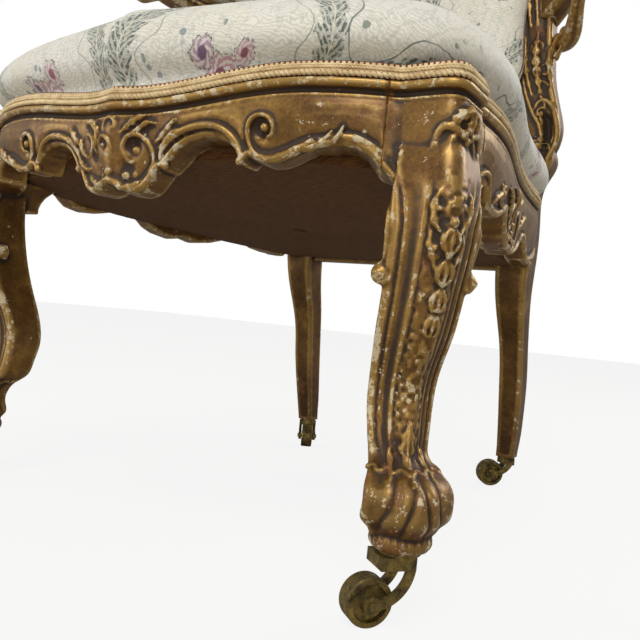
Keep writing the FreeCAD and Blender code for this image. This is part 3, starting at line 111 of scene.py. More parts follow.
class Shade:
    """An output of a shader node that can stand in a sum."""

    def __init__(self, finish, socket):
        self.finish = finish
        self.socket = socket

    def sum(self, operation, *values):
        return self.finish.sum_of(operation, *values)

    __add__ = __radd__ = sign("ADD")
    __sub__ = sign("SUBTRACT")
    __rsub__ = sign("SUBTRACT", swapped=True)
    __mul__ = __rmul__ = sign("MULTIPLY")

    def __abs__(self):
        return self.sum("ABSOLUTE", self)


class Finish:
    """A material, built from nodes in code."""

    def __init__(self, name, colour, roughness, metallic=0.0):
        self.material = bpy.data.materials.new(name)
        self.material.use_nodes = True
        self.tree = self.material.node_tree
        self.shader = self.tree.nodes["Principled BSDF"]
        self.material.diffuse_color = (*colour, 1)
        self.set("Base Color", (*colour, 1))
        self.set("Roughness", roughness)
        self.set("Metallic", metallic)

    def feed(self, socket, value):
        if isinstance(value, Shade):
            self.tree.links.new(value.socket, socket)
        else:
            socket.default_value = value

    def set(self, name, value):
        self.feed(self.shader.inputs[name], value)

    def node(self, kind, settings=None, values=None, output=0):
        made = self.tree.nodes.new(kind)
        for name, value in (settings or {}).items():
            if name == "stops":
                self.fill_ramp(made.color_ramp, value)
            else:
                setattr(made, name, value)
        for key, value in (values or {}).items():
            self.feed(made.inputs[key], value)
        return Shade(self, made.outputs[output])

    def sum_of(self, operation, *values):
        return self.node("ShaderNodeMath", {"operation": operation}, dict(enumerate(values)))

    def part(self, vector, index):
        """One of the three values of a place."""
        return self.node("ShaderNodeSeparateXYZ", None, {0: vector}, index)

    def fill_ramp(self, ramp, stops):
        while len(ramp.elements) < len(stops):
            ramp.elements.new(0.5)
        for element, (place, colour) in zip(ramp.elements, stops):
            element.position = place
            element.color = (*colour, 1)

    def place(self):
        return self.node("ShaderNodeTexCoord", output="Object")

    def cloth_place(self):
        return self.node("ShaderNodeUVMap", {"uv_map": "cloth"})

    def scaled(self, vector, x, y, z):
        return self.node("ShaderNodeVectorMath", {"operation": "MULTIPLY"}, {0: vector, 1: (x, y, z)})

    def noise(self, vector, scale, detail=3.0, rough=0.55, output="Fac"):
        values = {"Vector": vector, "Scale": scale, "Detail": detail, "Roughness": rough}
        return self.node("ShaderNodeTexNoise", None, values, output)

    def cells(self, vector, scale):
        """Distance from the nearest of many scattered points."""
        return self.node("ShaderNodeTexVoronoi", None, {"Vector": vector, "Scale": scale}, "Distance")

    def attribute(self, name):
        return self.node("ShaderNodeAttribute", {"attribute_name": name}, output="Fac")

    def step(self, value, low, high):
        """0 below low, 1 above high, and smooth between."""
        settings = {"interpolation_type": "SMOOTHSTEP"}
        return self.node("ShaderNodeMapRange", settings, {"Value": value, "From Min": low, "From Max": high})

    def mix(self, share, first, second, blend="MIX"):
        settings = {"data_type": "RGBA", "blend_type": blend}
        return self.node("ShaderNodeMix", settings, {0: share, 6: first, 7: second}, output=2)

    def ramp(self, value, stops):
        return self.node("ShaderNodeValToRGB", {"stops": stops}, {"Fac": value}, "Color")

    def bump(self, height, distance, strength):
        values = {"Strength": strength, "Distance": distance, "Height": height}
        return self.node("ShaderNodeBump", None, values, "Normal")


def rgb(code):
    """A linear colour from a web colour."""
    values = [int(code[index:index + 2], 16) / 255 for index in (0, 2, 4)]
    return tuple(v / 12.92 if v <= 0.04045 else ((v + 0.055) / 1.055) ** 2.4 for v in values)


def paint(code):
    """The same with the fourth value that a colour socket takes."""
    return (*rgb(code), 1)


print("shader sums ready")

# %% [markdown]
# The floor is a wide pale sheet and the world behind it is white to the camera only. Large soft lamps stand
# in front, at the right and low at the left, because the picture shows soft highlights along the top of the
# rails and enough light under the seat to see the cloth there.

# %% Floor, world and lamps
def lamp(name, place, target, width, power):
    """A square soft lamp that faces its target."""
    light = bpy.data.lights.new(name, "AREA")
    light.shape = "RECTANGLE"
    light.size = width
    light.size_y = width
    light.energy = power
    thing = placed(name, light)
    thing.location = place
    thing.rotation_euler = (Vector(target) - Vector(place)).to_track_quat("-Z", "Y").to_euler()


floor_paint = Finish("floor_paint", rgb("a8a39b"), 0.75)
grain = floor_paint.noise(floor_paint.place(), 40.0, 2.0)
floor_paint.set("Roughness", 0.7 + grain * 0.1)
seen = floor_paint.node("ShaderNodeLightPath", output="Is Camera Ray")
glow = floor_paint.node("ShaderNodeEmission", None, {"Color": (1, 1, 1, 1), "Strength": 1.08})
matt = Shade(floor_paint, floor_paint.shader.outputs["BSDF"])
pale = floor_paint.node("ShaderNodeMixShader", None, {0: seen * 0.8, 1: matt, 2: glow})
floor_paint.tree.links.new(pale.socket, floor_paint.tree.nodes["Material Output"].inputs["Surface"])
floor_mesh = bpy.data.meshes.new("floor")
FLOOR_HALF = 12.0
floor_mesh.from_pydata([(-FLOOR_HALF, -FLOOR_HALF, 0), (FLOOR_HALF, -FLOOR_HALF, 0),
                        (FLOOR_HALF, FLOOR_HALF, 0), (-FLOOR_HALF, FLOOR_HALF, 0)], [], [(0, 1, 2, 3)])
floor_mesh.materials.append(floor_paint.material)
floor = placed("floor", floor_mesh)

world = bpy.data.worlds.new("studio")
world.use_nodes = True
bpy.context.scene.world = world
sky = world.node_tree
ray = sky.nodes.new("ShaderNodeLightPath")
strength = sky.nodes.new("ShaderNodeMapRange")
strength.inputs["To Min"].default_value = 0.36
strength.inputs["To Max"].default_value = 1.0
sky.links.new(ray.outputs["Is Camera Ray"], strength.inputs["Value"])
sky.nodes["Background"].inputs["Color"].default_value = (1, 1, 1, 1)
sky.links.new(strength.outputs["Result"], sky.nodes["Background"].inputs["Strength"])

lamp("key", (0.9, -2.0, 2.6), (0.1, -0.1, 0.35), 1.4, 54)
lamp("fill", (-1.9, -1.9, 1.0), (0, 0, 0.3), 1.6, 22)
lamp("low", (0.9, -1.9, 0.45), (0.1, 0, 0.3), 1.0, 6)
lamp("rim", (1.4, 1.9, 1.8), (0, 0.1, 0.5), 1.2, 26)
print("stage and lamps ready")

# %% [markdown]
# Old water gilding is thin gold leaf over red clay and white gesso. Dirt and painted shade darken the
# hollows, hands rub the ridges bright, and chips show the clay and the gesso. Each carved piece carries an
# attribute, hollow, that says how deep or how exposed a place is, and the finish reads it together with noise
# of several sizes.

# %% Gilding
# Below these heights the gilding is darker towards the floor and shows more red clay.
DARK_BELOW = 0.105
DARKENING_ENDS = 0.150


def gilding(name, leaf, shade, chips, dirt_and_shade):
    """Water gilding from the colours of its leaf, the share that has chipped, and the dirt and painted shade
    in its hollows.
    """
    gilt = Finish(name, rgb(leaf), 0.42, 0.0)
    spot = gilt.place()
    hollow = gilt.attribute("hollow")
    broad = gilt.noise(spot, 14.0, 4.0)
    middle = gilt.noise(spot, 70.0, 5.0, 0.65)
    fine = gilt.noise(spot, 420.0, 4.0, 0.7)
    leaf_colour = gilt.ramp(broad * 0.42 + middle * 0.30 + fine * 0.28, [
        (0.30, rgb("452c12")), (0.43, rgb(shade)), (0.54, rgb(leaf)),
        (0.66, rgb("a8843f")), (0.80, rgb("c09a50")),
    ])
    depth = gilt.step(hollow + (middle - 0.5) * 0.35, 0.50, 0.78)
    # Dirt and painted shade: the hollows are darkened towards a near black brown.
    aged_and_shaded = gilt.mix(depth * dirt_and_shade, leaf_colour, paint("23150a"))
    rub = gilt.step(0.5 - hollow + (middle - 0.5) * 0.30, 0.06, 0.30)
    aged_and_shaded = gilt.mix(rub * 0.5, aged_and_shaded, paint("c39d55"))
    low = 1 - gilt.step(gilt.part(spot, 2), DARK_BELOW, DARKENING_ENDS)
    clay = gilt.step(gilt.noise(spot, 60.0, 6.0, 0.75) + rub * 0.05 + low * 0.06, 0.58, 0.68)
    aged_and_shaded = gilt.mix(low * 0.35, aged_and_shaded, paint("33200f"))
    aged_and_shaded = gilt.mix(clay * 0.75, aged_and_shaded, paint("6e3d14"))
    flaking = gilt.noise(spot, 120.0, 4.0, 0.75) * 0.7 + gilt.noise(spot, 26.0, 2.0) * 0.3
    chip = gilt.step(flaking + rub * 0.10, 1.0 - chips, 1.04 - chips)
    aged_and_shaded = gilt.mix(chip * 0.8, aged_and_shaded, paint("cdbf9e"))
    gilt.set("Base Color", aged_and_shaded)
    gilt.set("Metallic", 0.56 * (1 - chip) * (1 - depth * 0.8) * (1 - clay * 0.7))
    gilt.set("Roughness", 0.38 + clay * 0.15 + depth * 0.3 + chip * 0.3 + (fine - 0.5) * 0.25)
    tool_marks = gilt.noise(spot, 260.0, 3.0, 0.6)
    gilt.set("Normal", gilt.bump(tool_marks * 0.6 + middle * 0.6 - chip * 0.5, 0.0006, 0.55))
    return gilt.material


GILT = gilding("gilt_wood", "85622e", "664620", 0.385, 0.90)
PLAIN_GILT = gilding("plain_gilt", "705024", "543818", 0.33, 0.90)
print("gilding ready")

# %% [markdown]
# Every mesh here starts as tables of points and of four-cornered or three-cornered faces. Solid gathers such
# tables for one piece, so that a rail, its scrolls and its beads can be joined into one block of wood before
# they are smoothed together.

# %% Points and faces
class Solid:
    """Points and faces of a piece, gathered from several closed forms."""

    def __init__(self):
        self.points = []
        self.faces = []
        self.count = 0

    def add(self, points, *tables):
        points = np.asarray(points, float).reshape(-1, 3)
        self.points.append(points)
        for table in tables:
            self.faces.append(np.asarray(table, int) + self.count)
        self.count += len(points)
        return self

    def mirrored(self):
        """The same piece on the other side of the chair, with its faces turned outwards again."""
        other = Solid()
        other.points = [points * (-1, 1, 1) for points in self.points]
        other.faces = [table[:, ::-1] for table in self.faces]
        other.count = self.count
        return other

    def object(self, name):
        mesh = bpy.data.meshes.new(name)
        points = np.concatenate(self.points)
        corners = np.concatenate([table.ravel() for table in self.faces])
        sizes = np.concatenate([np.full(len(table), table.shape[1]) for table in self.faces])
        mesh.vertices.add(len(points))
        mesh.vertices.foreach_set("co", points.ravel())
        mesh.loops.add(len(corners))
        mesh.loops.foreach_set("vertex_index", corners.astype(np.int32))
        mesh.polygons.add(len(sizes))
        mesh.polygons.foreach_set("loop_start", (np.cumsum(sizes) - sizes).astype(np.int32))
        mesh.polygons.foreach_set("loop_total", sizes.astype(np.int32))
        mesh.update(calc_edges=True)
        mesh.validate()
        return placed(name, mesh)


def woven(rows, columns, closed_rows=False, closed_columns=False):
    """Four-cornered faces over a table of points, row after row."""
    down = np.arange(rows if closed_rows else rows - 1)[:, None]
    across = np.arange(columns if closed_columns else columns - 1)[None, :]
    below_row = (down + 1) % rows
    beside = (across + 1) % columns
    faces = np.stack([down * columns + across + 0 * beside, down * columns + beside,
                      below_row * columns + beside, below_row * columns + across], axis=-1)
    return faces.reshape(-1, 4)


def fan(ring, centre):
    """Three-cornered faces that close a ring of point numbers with a point in its middle."""
    ring = np.asarray(ring)
    return np.stack([ring, np.roll(ring, -1), np.full(len(ring), centre)], axis=-1)


def closed_rings(rings, ends):
    """Points and faces of a form made of rings, closed at both ends by a point in the middle."""
    count, sides, _ = rings.shape
    total = count * sides
    caps = np.vstack([fan(np.arange(sides), total)[:, ::-1],
                      fan(np.arange(total - sides, total), total + 1)])
    return np.vstack([rings.reshape(-1, 3), ends]), woven(count, sides, closed_columns=True), caps


def alike(*values):
    """Numbers and arrays as arrays of one shape."""
    return np.broadcast_arrays(*(np.asarray(value, float) for value in values))


def unit(vectors):
    return vectors / np.maximum(np.linalg.norm(vectors, axis=-1, keepdims=True), 1e-12)


def smooth_line(points, count):
    """A smooth line through a few points, evenly spaced along its length."""
    points = np.asarray(points, float)
    padded = np.vstack([2 * points[0] - points[1], points, 2 * points[-1] - points[-2]])
    share = np.linspace(0, len(points) - 1, 24 * (len(points) - 1) + 1)
    index = np.minimum(share.astype(int), len(points) - 2)
    t = (share - index)[:, None]
    a, b, c, d = (padded[index + step] for step in range(4))
    dense = 0.5 * (2 * b + (c - a) * t + (2 * a - 5 * b + 4 * c - d) * t ** 2
                   + (3 * b - a - 3 * c + d) * t ** 3)
    length = np.concatenate([[0], np.cumsum(np.linalg.norm(np.diff(dense, axis=0), axis=1))])
    even = np.linspace(0, length[-1], count)
    return np.stack([np.interp(even, length, dense[:, axis]) for axis in range(dense.shape[1])], axis=-1)


def roll_of(line, wide, high, away, sides):
    """A rounded bar along a line: half sizes across it and away from the wood, and which way is away."""
    line = np.asarray(line, float)
    count = len(line)
    wide = np.broadcast_to(wide, count)[:, None, None]
    high = np.broadcast_to(high, count)[:, None, None]
    along = unit(np.gradient(line, axis=0))
    away = np.broadcast_to(np.asarray(away, float), line.shape)
    away = unit(away - along * np.sum(away * along, axis=1, keepdims=True))
    across = np.cross(along, away)
    turn = np.linspace(0, 2 * np.pi, sides, endpoint=False)[None, :, None]
    rings = line[:, None] + across[:, None] * np.cos(turn) * wide + away[:, None] * np.sin(turn) * high
    points, skin, caps = closed_rings(rings, line[[0, -1]])
    return points, skin[:, ::-1], caps[:, ::-1]


def swelling(count, full, taper):
    """Half sizes along a scroll that is full in its middle and tapers to a share of that at its ends."""
    share = np.linspace(0, 1, count)
    base = np.interp(share, [0, 0.5, 1], [full * taper, full, full * taper])
    rounding = np.minimum(1, np.minimum(share, 1 - share) * 14 + 0.12) ** 0.5
    return base * rounding * MM / 2


def ball(centre, radius):
    """A bead, in seven rings of ten points."""
    high = np.linspace(0, np.pi, 7 + 2)[1:-1, None]
    turn = np.linspace(0, 2 * np.pi, 10, endpoint=False)[None, :]
    rings = np.stack([np.sin(high) * np.cos(turn), np.sin(high) * np.sin(turn),
                      np.cos(high) + 0 * turn], axis=-1)
    points, skin, caps = closed_rings(rings, [(0, 0, 1), (0, 0, -1)])
    return points * radius + np.asarray(centre), skin[:, ::-1], caps[:, ::-1]


print("mesh tools ready")

# %% [markdown]
# The carving is laid on the CAD blanks, so their surfaces are measured first: rays find the seat's outer
# line, which the rails, the gimp and the seat cover all follow. A distance along that line, s, starts at the
# front centre and grows towards the sitter's left; the other half is its mirror image.

# %% Seat line
class Skin:
    """CAD parts as one surface that rays can meet."""

    def __init__(self, *names):
        points = []
        faces = []
        for name in names:
            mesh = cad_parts[name].data
            first = len(points)
            points += [tuple(vertex.co) for vertex in mesh.vertices]
            faces += [tuple(corner + first for corner in face.vertices) for face in mesh.polygons]
        self.tree = BVHTree.FromPolygons(points, faces)

    def meet(self, start, direction, reach=2.0):
        return self.tree.ray_cast(Vector(start), Vector(direction).normalized(), reach)[0]


SEAT_MIDDLE = np.array((0.0, -0.04))
LEVEL = 0.378
POST_FRONT = 0.2305
INNER_REACH = 0.2
CORNER_S = 0.30
rails_skin = Skin("front_rail", "front_leg_right", "side_rail_right")


def seat_line():
    """Places on the right half of the seat's outer line, a millimetre apart."""
    found = []
    for angle in np.radians(np.linspace(-90, 52, 480)):
        way = np.array((math.cos(angle), math.sin(angle)))
        start = SEAT_MIDDLE + way * 0.7
        place = rails_skin.meet((*start, LEVEL), (*-way, 0))
        if place is None or place.y >= POST_FRONT:
            continue
        if np.hypot(*(np.array(place[:2]) - SEAT_MIDDLE)) > INNER_REACH:
            found.append((max(place.x, 0), place.y))
    found = np.array(found)
    mirrored = found[1:60][::-1] * (-1, 1)
    whole = np.vstack([mirrored, found])
    length = np.concatenate([[0], np.cumsum(np.hypot(*np.diff(whole, axis=0).T))])
    start = length[len(mirrored)]
    even = np.arange(-0.02, length[-1] - start, MM)
    line = np.stack([np.interp(even + start, length, whole[:, axis]) for axis in (0, 1)], axis=-1)
    kernel = np.ones(9) / 9
    padded = np.vstack([np.repeat(line[:1], 4, 0), line, 2 * line[-1] - line[-2:-6:-1]])
    line = np.stack([np.convolve(padded[:, axis], kernel, "valid") for axis in (0, 1)], axis=-1)
    return even, line


LINE_S, LINE = seat_line()
LINE_WAY = unit(np.gradient(LINE, axis=0))
LINE_OUT = np.stack([LINE_WAY[:, 1], -LINE_WAY[:, 0]], axis=-1)


def on_line(s, inset=0.0):
    """Places at distances s along the seat's outer line, moved inwards by an inset, and the way out there."""
    s = np.asarray(s, float)
    side = np.where(s < 0, -1.0, 1.0)
    at = np.abs(s)
    place = np.stack([np.interp(at, LINE_S, LINE[:, axis]) for axis in (0, 1)], axis=-1)
    out = unit(np.stack([np.interp(at, LINE_S, LINE_OUT[:, axis]) for axis in (0, 1)], axis=-1))
    place = place - out * np.asarray(inset)[..., None]
    place[..., 0] *= side
    out[..., 0] *= side
    return place, out


def s_of_x(x):
    """Distance along the front of the seat's line at a place across the chair."""
    front = LINE_S < CORNER_S
    return np.sign(x) * np.interp(np.abs(x), LINE[front, 0], LINE_S[front])


RAIL_TOP = 0.414
DIP = 0.015
DIP_HALF = 0.185
JOINT_X = 0.243
JOINT_S = float(s_of_x(JOINT_X))
SIDE_JOINT_Y = -0.21035
SIDE_PART = LINE_S > CORNER_S
SIDE_JOINT_S = float(np.interp(SIDE_JOINT_Y, LINE[SIDE_PART, 1], LINE_S[SIDE_PART]))
REAR_S = float(LINE_S[-1])


def dip_of(x):
    """How far the front rail's top lies below the side rails' at a place across the chair."""
    return np.where(np.abs(x) < DIP_HALF, DIP * np.cos(np.pi * x / (2 * DIP_HALF)) ** 2, 0)


print("seat line", round(REAR_S, 3), "joints at", round(JOINT_S, 3), round(SIDE_JOINT_S, 3))

# %% [markdown]
# All rails share one moulding: a half round bead under the gimp, a dark hollow, a thin fillet, and a broad
# face that swells and then leans in to a raised rim along the shaped lower edge. The rail is a ring of
# points at each step along the seat's line, with the rim and the hollow behind it worked out from the
# distance to the lower edge. Joined with its scrolls, it is turned into one skin of small squares, which
# softens the joints as a carver and the gesso do.

# %% Rail blanks
FACE_PROFILE = ((0, 1.2), (0.07, 0.2), (0.2, -0.8), (0.38, -0.5), (0.58, 1.6), (0.76, 3.8), (1.0, 5.0))
RAIL_THICKNESS = 0.032


def moulding_inset(drop):
    """Inset of a rail's skin at a depth below its top: bead, hollow and fillet."""
    mm = drop / MM
    bead = -3.2 * np.sqrt(np.clip(1 - ((mm - 3.4) / 3.5) ** 2, 0, 1))
    hollow = 4.2 * np.sin(np.pi * np.clip((mm - 6.8) / 5.8, 0, 1)) ** 0.7
    return np.where(mm < 6.8, bead, hollow) * MM


def edge_distance(x, z, edge):
    """Distance from places in front view to a line of points."""
    best = np.full(x.shape, 9.0)
    for (ax, az), (bx, bz) in zip(edge[:-1], edge[1:]):
        dx, dz = bx - ax, bz - az
        t = np.clip(((x - ax) * dx + (z - az) * dz) / (dx * dx + dz * dz), 0, 1)
        best = np.minimum(best, np.hypot(x - ax - t * dx, z - az - t * dz))
    return best


def rim(distance):
    """How far the raised rim and the valley beside it change the face, by distance from the edge."""
    mm = distance / MM
    return (3.4 * np.exp(-((mm - 2.8) / 2.7) ** 2) - 0.8 * np.exp(-((mm - 8.5) / 2.6) ** 2)) * MM


FILLET_DROP = 0.0138


RAIL_STEP = 1.15 * MM


def rail_blank(first, last, edge, relief=None, seen="front", face=FACE_PROFILE):
    """A rail between two distances on the seat's line, down to an edge in front, side or along view."""
    count = int(abs(last - first) / RAIL_STEP) + 2
    s = np.linspace(first, last, count)
    place, _ = on_line(s)
    view_x = {"front": place[:, 0], "side": place[:, 1], "along": s}[seen]
    top = RAIL_TOP - dip_of(place[:, 0])
    edge = np.asarray(edge, float)
    order = np.argsort(edge[:, 0])
    low = np.interp(view_x, edge[order, 0], edge[order, 1])
    bead_rows = np.linspace(0, 0.0068, 9)[:-1]
    hollow_rows = np.linspace(0.0068, 0.0126, 8)[:-1]
    fillet_rows = np.array((0.0127, 0.0131, 0.0135))
    fixed = np.concatenate([bead_rows, hollow_rows, fillet_rows])
    drop = np.broadcast_to(fixed, (count, len(fixed)))
    inset = moulding_inset(drop)
    share = np.linspace(0, 1, 60)
    depth = (top - low)[:, None]
    face_drop = FILLET_DROP + share * (depth - FILLET_DROP)
    profile = np.interp(share, *zip(*face)) * MM
    z = top[:, None] - face_drop
    x = np.broadcast_to(view_x[:, None], z.shape)
    distance = edge_distance(x, z, edge)
    raised = rim(distance) * np.clip((face_drop - FILLET_DROP) / 0.012, 0, 1)
    face_inset = profile - raised
    if relief is not None:
        face_inset = face_inset - relief(x, z)
    under_inset = np.linspace(0, 1, 14)[1:]
    under_inset = face_inset[:, -1:] + (RAIL_THICKNESS - face_inset[:, -1:]) * under_inset
    round_off = np.minimum(1, np.arange(1, 14) / 3) * 1.2 * MM
    under_z = low[:, None] - round_off * np.array([1] * 11 + [0.6, 0.0])
    back_share = np.linspace(0, 1, 16)[1:]
    back_z = low[:, None] + back_share * (top - low)[:, None]
    back_inset = np.full(back_z.shape, RAIL_THICKNESS)
    cap_inset = np.broadcast_to(RAIL_THICKNESS * np.linspace(1, 0, 12)[1:-1], (count, 10))
    cap_z = np.broadcast_to(top[:, None], cap_inset.shape)
    insets = np.concatenate([inset, face_inset, under_inset, back_inset, cap_inset], axis=1)
    levels = np.concatenate([top[:, None] - drop, z, under_z, back_z, cap_z], axis=1)
    columns = insets.shape[1]
    flat, _ = on_line(np.repeat(s, columns), insets.ravel())
    rings = np.column_stack([flat, levels.ravel()]).reshape(count, columns, 3)
    return closed_rings(rings, rings[[0, -1]].mean(axis=1))


def face_place(s, z, lift, top=RAIL_TOP, height=0.045):
    """A place on a rail's face, lifted off it, and the way out: along the seat's line, and up."""
    z = np.asarray(z, float)
    share = np.clip((top - z - FILLET_DROP) / height, 0, 1)
    inset = np.interp(share, *zip(*FACE_PROFILE)) * MM - lift
    place, out = on_line(s, inset)
    return np.column_stack([place, z]), np.column_stack([out, np.zeros(len(out))])


def front_place(x, z, lift=0.0):
    """A place on the front rail's face in front view."""
    x = np.asarray(x, float)
    return face_place(s_of_x(x), z, lift, RAIL_TOP - dip_of(x))


print("rail blanks ready")

# %% [markdown]
# Scrolls, leaves and beads are carved separately and laid on the blank in front view. A path is a few
# points across and up in millimetres; its bar swells in the middle and dies away at its ends, as a gouge
# leaves it. A leaf is a folded shield with a rib and cut lobes along both edges, and a volute is a bar that
# winds in to an eye.

# %% Scrolls, leaves and beads
def laid(place_of, path, lift, count):
    """A smooth line laid on a face: path in millimetres, lift above the face in millimetres."""
    flat = smooth_line(np.asarray(path, float) * MM, count)
    lifts = np.interp(np.linspace(0, 1, count), np.linspace(0, 1, np.size(lift)), np.atleast_1d(lift)) * MM
    return place_of(flat[:, 0], flat[:, 1], lifts)


def spot_on(place_of, x, z, lift):
    """One place on a face, in millimetres."""
    points, _ = place_of(*(np.array([value]) * MM for value in (x, z, lift)))
    return points[0]


def shifted(path, middle, way):
    """A path in millimetres, moved to a middle and turned one way or the other."""
    return [(middle + way * x, z) for x, z in path]


def sided(place_of, side):
    """The same way of placing, on the chosen half of the chair."""
    def at(x, z, lift=0.0):
        return place_of(side * np.asarray(x, float), z, lift)

    return at


def scroll(piece, place_of, path, width, height, lift=0.0, taper=0.35):
    """A carved bar along a path on a face."""
    length = np.sum(np.hypot(*np.diff(np.asarray(path, float), axis=0).T))
    count = max(10, int(length / 1.6))
    line, out = laid(place_of, path, lift, count)
    piece.add(*roll_of(line, swelling(count, width, taper), swelling(count, height, taper), out, 9))


def volute(piece, place_of, eye, radius, start, turns, width, height, hand=1, lift=0.0, tail=()):
    """A bar that winds in from a start angle in degrees to a bead at the eye, after a tail of points."""
    count = int(26 * turns) + 8
    share = np.linspace(0, 1, count)
    angle = math.radians(start) + hand * share * turns * 2 * np.pi
    reach = radius * (1 - 0.80 * share ** 0.85)
    coil = [(eye[0] + r * math.cos(a), eye[1] + r * math.sin(a)) for r, a in zip(reach, angle)]
    path = list(tail) + coil
    line, out = laid(place_of, path, [lift, lift, lift + height * 0.2], int(len(path) * 2.2))
    wide = np.linspace(width, width * 0.5, len(line)) * MM / 2
    wide[:4] *= np.linspace(0.4, 1, 4)
    high = np.linspace(height, height * 0.8, len(line)) * MM / 2
    piece.add(*roll_of(line, wide, high, out, 9))
    piece.add(*ball(spot_on(place_of, *eye, lift + height * 0.15), radius * 0.3 * MM))


def leaf(piece, place_of, path, width, height, lift=0.0, lobes=4, cut=0.35, curl=1.0):
    """A leaf along a path: a raised rib, cut lobes on both edges and a tip that curls off the face."""
    rows, columns = 26, 9
    line, out = laid(place_of, path, lift, rows)
    along = unit(np.gradient(line, axis=0))
    across = np.cross(along, out)
    share = np.linspace(0, 1, rows)
    body = np.sin(np.pi * np.clip(share * 0.93 + 0.05, 0, 1)) ** 0.75
    teeth = 1 - cut * np.abs(np.sin(np.pi * lobes * share)) ** 1.5 * (share > 0.06)
    half = width * MM / 2 * body * teeth
    side = np.linspace(-1, 1, columns)
    rise = height * MM * (0.35 + 0.65 * (1 - np.abs(side)) ** 0.7)
    vein = 0.25 * height * MM * np.cos(side * np.pi * 3)
    lifted = (curl * 2.2 * MM * share ** 3)[:, None]
    rib = (rise + vein)[None, :] * body[:, None] + lifted
    top = line[:, None] + across[:, None] * (half[:, None] * side)[..., None] + out[:, None] * rib[..., None]
    low = line[:, None] + across[:, None] * (half[:, None] * side * 0.9)[..., None]
    low = low + out[:, None] * (lifted - 2.0 * MM)[..., None]
    shell = np.stack([top, low[:, ::-1]], axis=1).reshape(rows, 2 * columns, 3)
    piece.add(*closed_rings(shell, shell[[0, -1]].mean(axis=1)))


def beads(piece, place_of, places, size, lift=0.0):
    """Round beads at places on a face."""
    for x, z in places:
        piece.add(*ball(spot_on(place_of, x, z, lift), size * MM / 2))


print("carving tools ready")

# %% [markdown]
# After the carving is joined to its blank, the voxel remesh makes one closed skin of it and a little
# smoothing takes off the steps. The hollow attribute is then read from the skin's own bend: where the points
# round a point lie outside it, the gilding gets its dirt and painted shade.

# %% Joining and ageing a carved piece
def settled(thing, name):
    """The object as its modifiers leave it, as a plain mesh."""
    graph = bpy.context.evaluated_depsgraph_get()
    mesh = bpy.data.meshes.new_from_object(thing.evaluated_get(graph), depsgraph=graph)
    mesh.name = name
    thing.modifiers.clear()
    thing.data = mesh
    return thing


def join_carving(solid, name, voxel, soften=2):
    """One smooth skin from a blank and its carving."""
    thing = solid.object(name)
    remesh = thing.modifiers.new("one_skin", "REMESH")
    remesh.mode = "VOXEL"
    remesh.voxel_size = voxel
    if soften:
        ease = thing.modifiers.new("ease", "SMOOTH")
        ease.factor = 0.5
        ease.iterations = soften
    return settled(thing, name)


def mesh_tables(mesh):
    points = np.empty(len(mesh.vertices) * 3)
    mesh.vertices.foreach_get("co", points)
    normals = np.empty(len(mesh.vertices) * 3)
    mesh.vertices.foreach_get("normal", normals)
    edges = np.empty(len(mesh.edges) * 2, np.int32)
    mesh.edges.foreach_get("vertices", edges)
    return points.reshape(-1, 3), normals.reshape(-1, 3), edges.reshape(-1, 2)


def near_mean(values, edges, count):
    """The mean of each point's neighbours."""
    sums = np.zeros((count, values.shape[1]))
    for one, other in ((0, 1), (1, 0)):
        for axis in range(values.shape[1]):
            sums[:, axis] += np.bincount(edges[:, one], values[edges[:, other], axis], count)
    share = np.bincount(edges.ravel(), minlength=count)
    return sums / np.maximum(share, 1)[:, None]


def age(thing):
    """Writes how hollow (towards 1) or how exposed (towards 0) each point of a piece is."""
    mesh = thing.data
    points, normals, edges = mesh_tables(mesh)
    count = len(points)
    depth = np.zeros((count, 1))
    for size, weight in ((1, 0.25), (5, 0.9), (14, 1.0)):
        blurred = points
        for _ in range(size):
            blurred = near_mean(blurred, edges, count)
        depth += weight * np.sum((blurred - points) * normals, axis=1, keepdims=True) / (0.9 * MM)
    for _ in range(2):
        depth = near_mean(depth, edges, count)
    hollow = np.clip(0.5 + 0.55 * depth[:, 0], 0, 1)
    gap = np.minimum(np.abs(np.abs(points[:, 0]) - JOINT_X), np.abs(points[:, 1] - SIDE_JOINT_Y))
    rails = (points[:, 2] > 0.33) & (points[:, 2] < RAIL_TOP) & (points[:, 1] < -0.2)
    calm = np.exp(-(gap / (2.6 * MM)) ** 2) * rails
    hollow = hollow * (1 - calm) + 0.55 * calm
    attribute = mesh.attributes.get("hollow") or mesh.attributes.new("hollow", "FLOAT", "POINT")
    attribute.data.foreach_set("value", hollow.astype(np.float32))
    return hollow


def finished(thing, material):
    """Gives a piece its finish, and ties it to its body."""
    thing.data.materials.clear()
    thing.data.materials.append(material)
    thing.data.polygons.foreach_set("use_smooth", [True] * len(thing.data.polygons))
    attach(thing, "chair")


def carved(solid, name, voxel, material=GILT, soften=2):
    """A carved wooden piece, from its blank to its gilding."""
    thing = join_carving(solid, name, voxel, soften)
    hollow = age(thing)
    finished(thing, material)
    print(name, len(thing.data.polygons), "faces, hollow", np.percentile(hollow, [5, 50, 95]).round(2))
    return thing


print("ageing ready")

# %% [markdown]
# The front rail is bowed and shaped: a carved cartouche in the middle, a double banded arch on each side of
# it, then an open volute over a leafy lobe, and the start of the arch that runs down each leg. Only the
# right half is written down, in millimetres across and up, and the left half mirrors it.

# %% Front rail
FRONT_EDGE = [
    (0, 328), (9, 325.5), (18, 321.5), (28, 320.5), (37, 324), (44, 333), (50, 342), (54, 342.5), (60, 350),
    (68, 359), (78, 365), (92, 368.5), (106, 368), (117, 364), (124, 357.5), (128, 350), (130.5, 345.5),
    (133, 349), (137, 352), (144, 349.5), (152, 347.5), (162, 348.5), (172, 352), (182, 357), (190, 360),
    (198, 361), (206, 361), (214, 362.5), (224, 361.5), (233, 357.5), (239, 352), (243, 347.5),
]


def both_halves(points):
    return [(-x, z) for x, z in reversed(points) if x > 0] + list(points)


def pit(x, z, across, up, radius, depth):
    """A hollow in a face, all in millimetres."""
    return -depth * MM * np.exp(-(((x / MM - across) ** 2 + (z / MM - up) ** 2) / radius ** 2) ** 1.5)


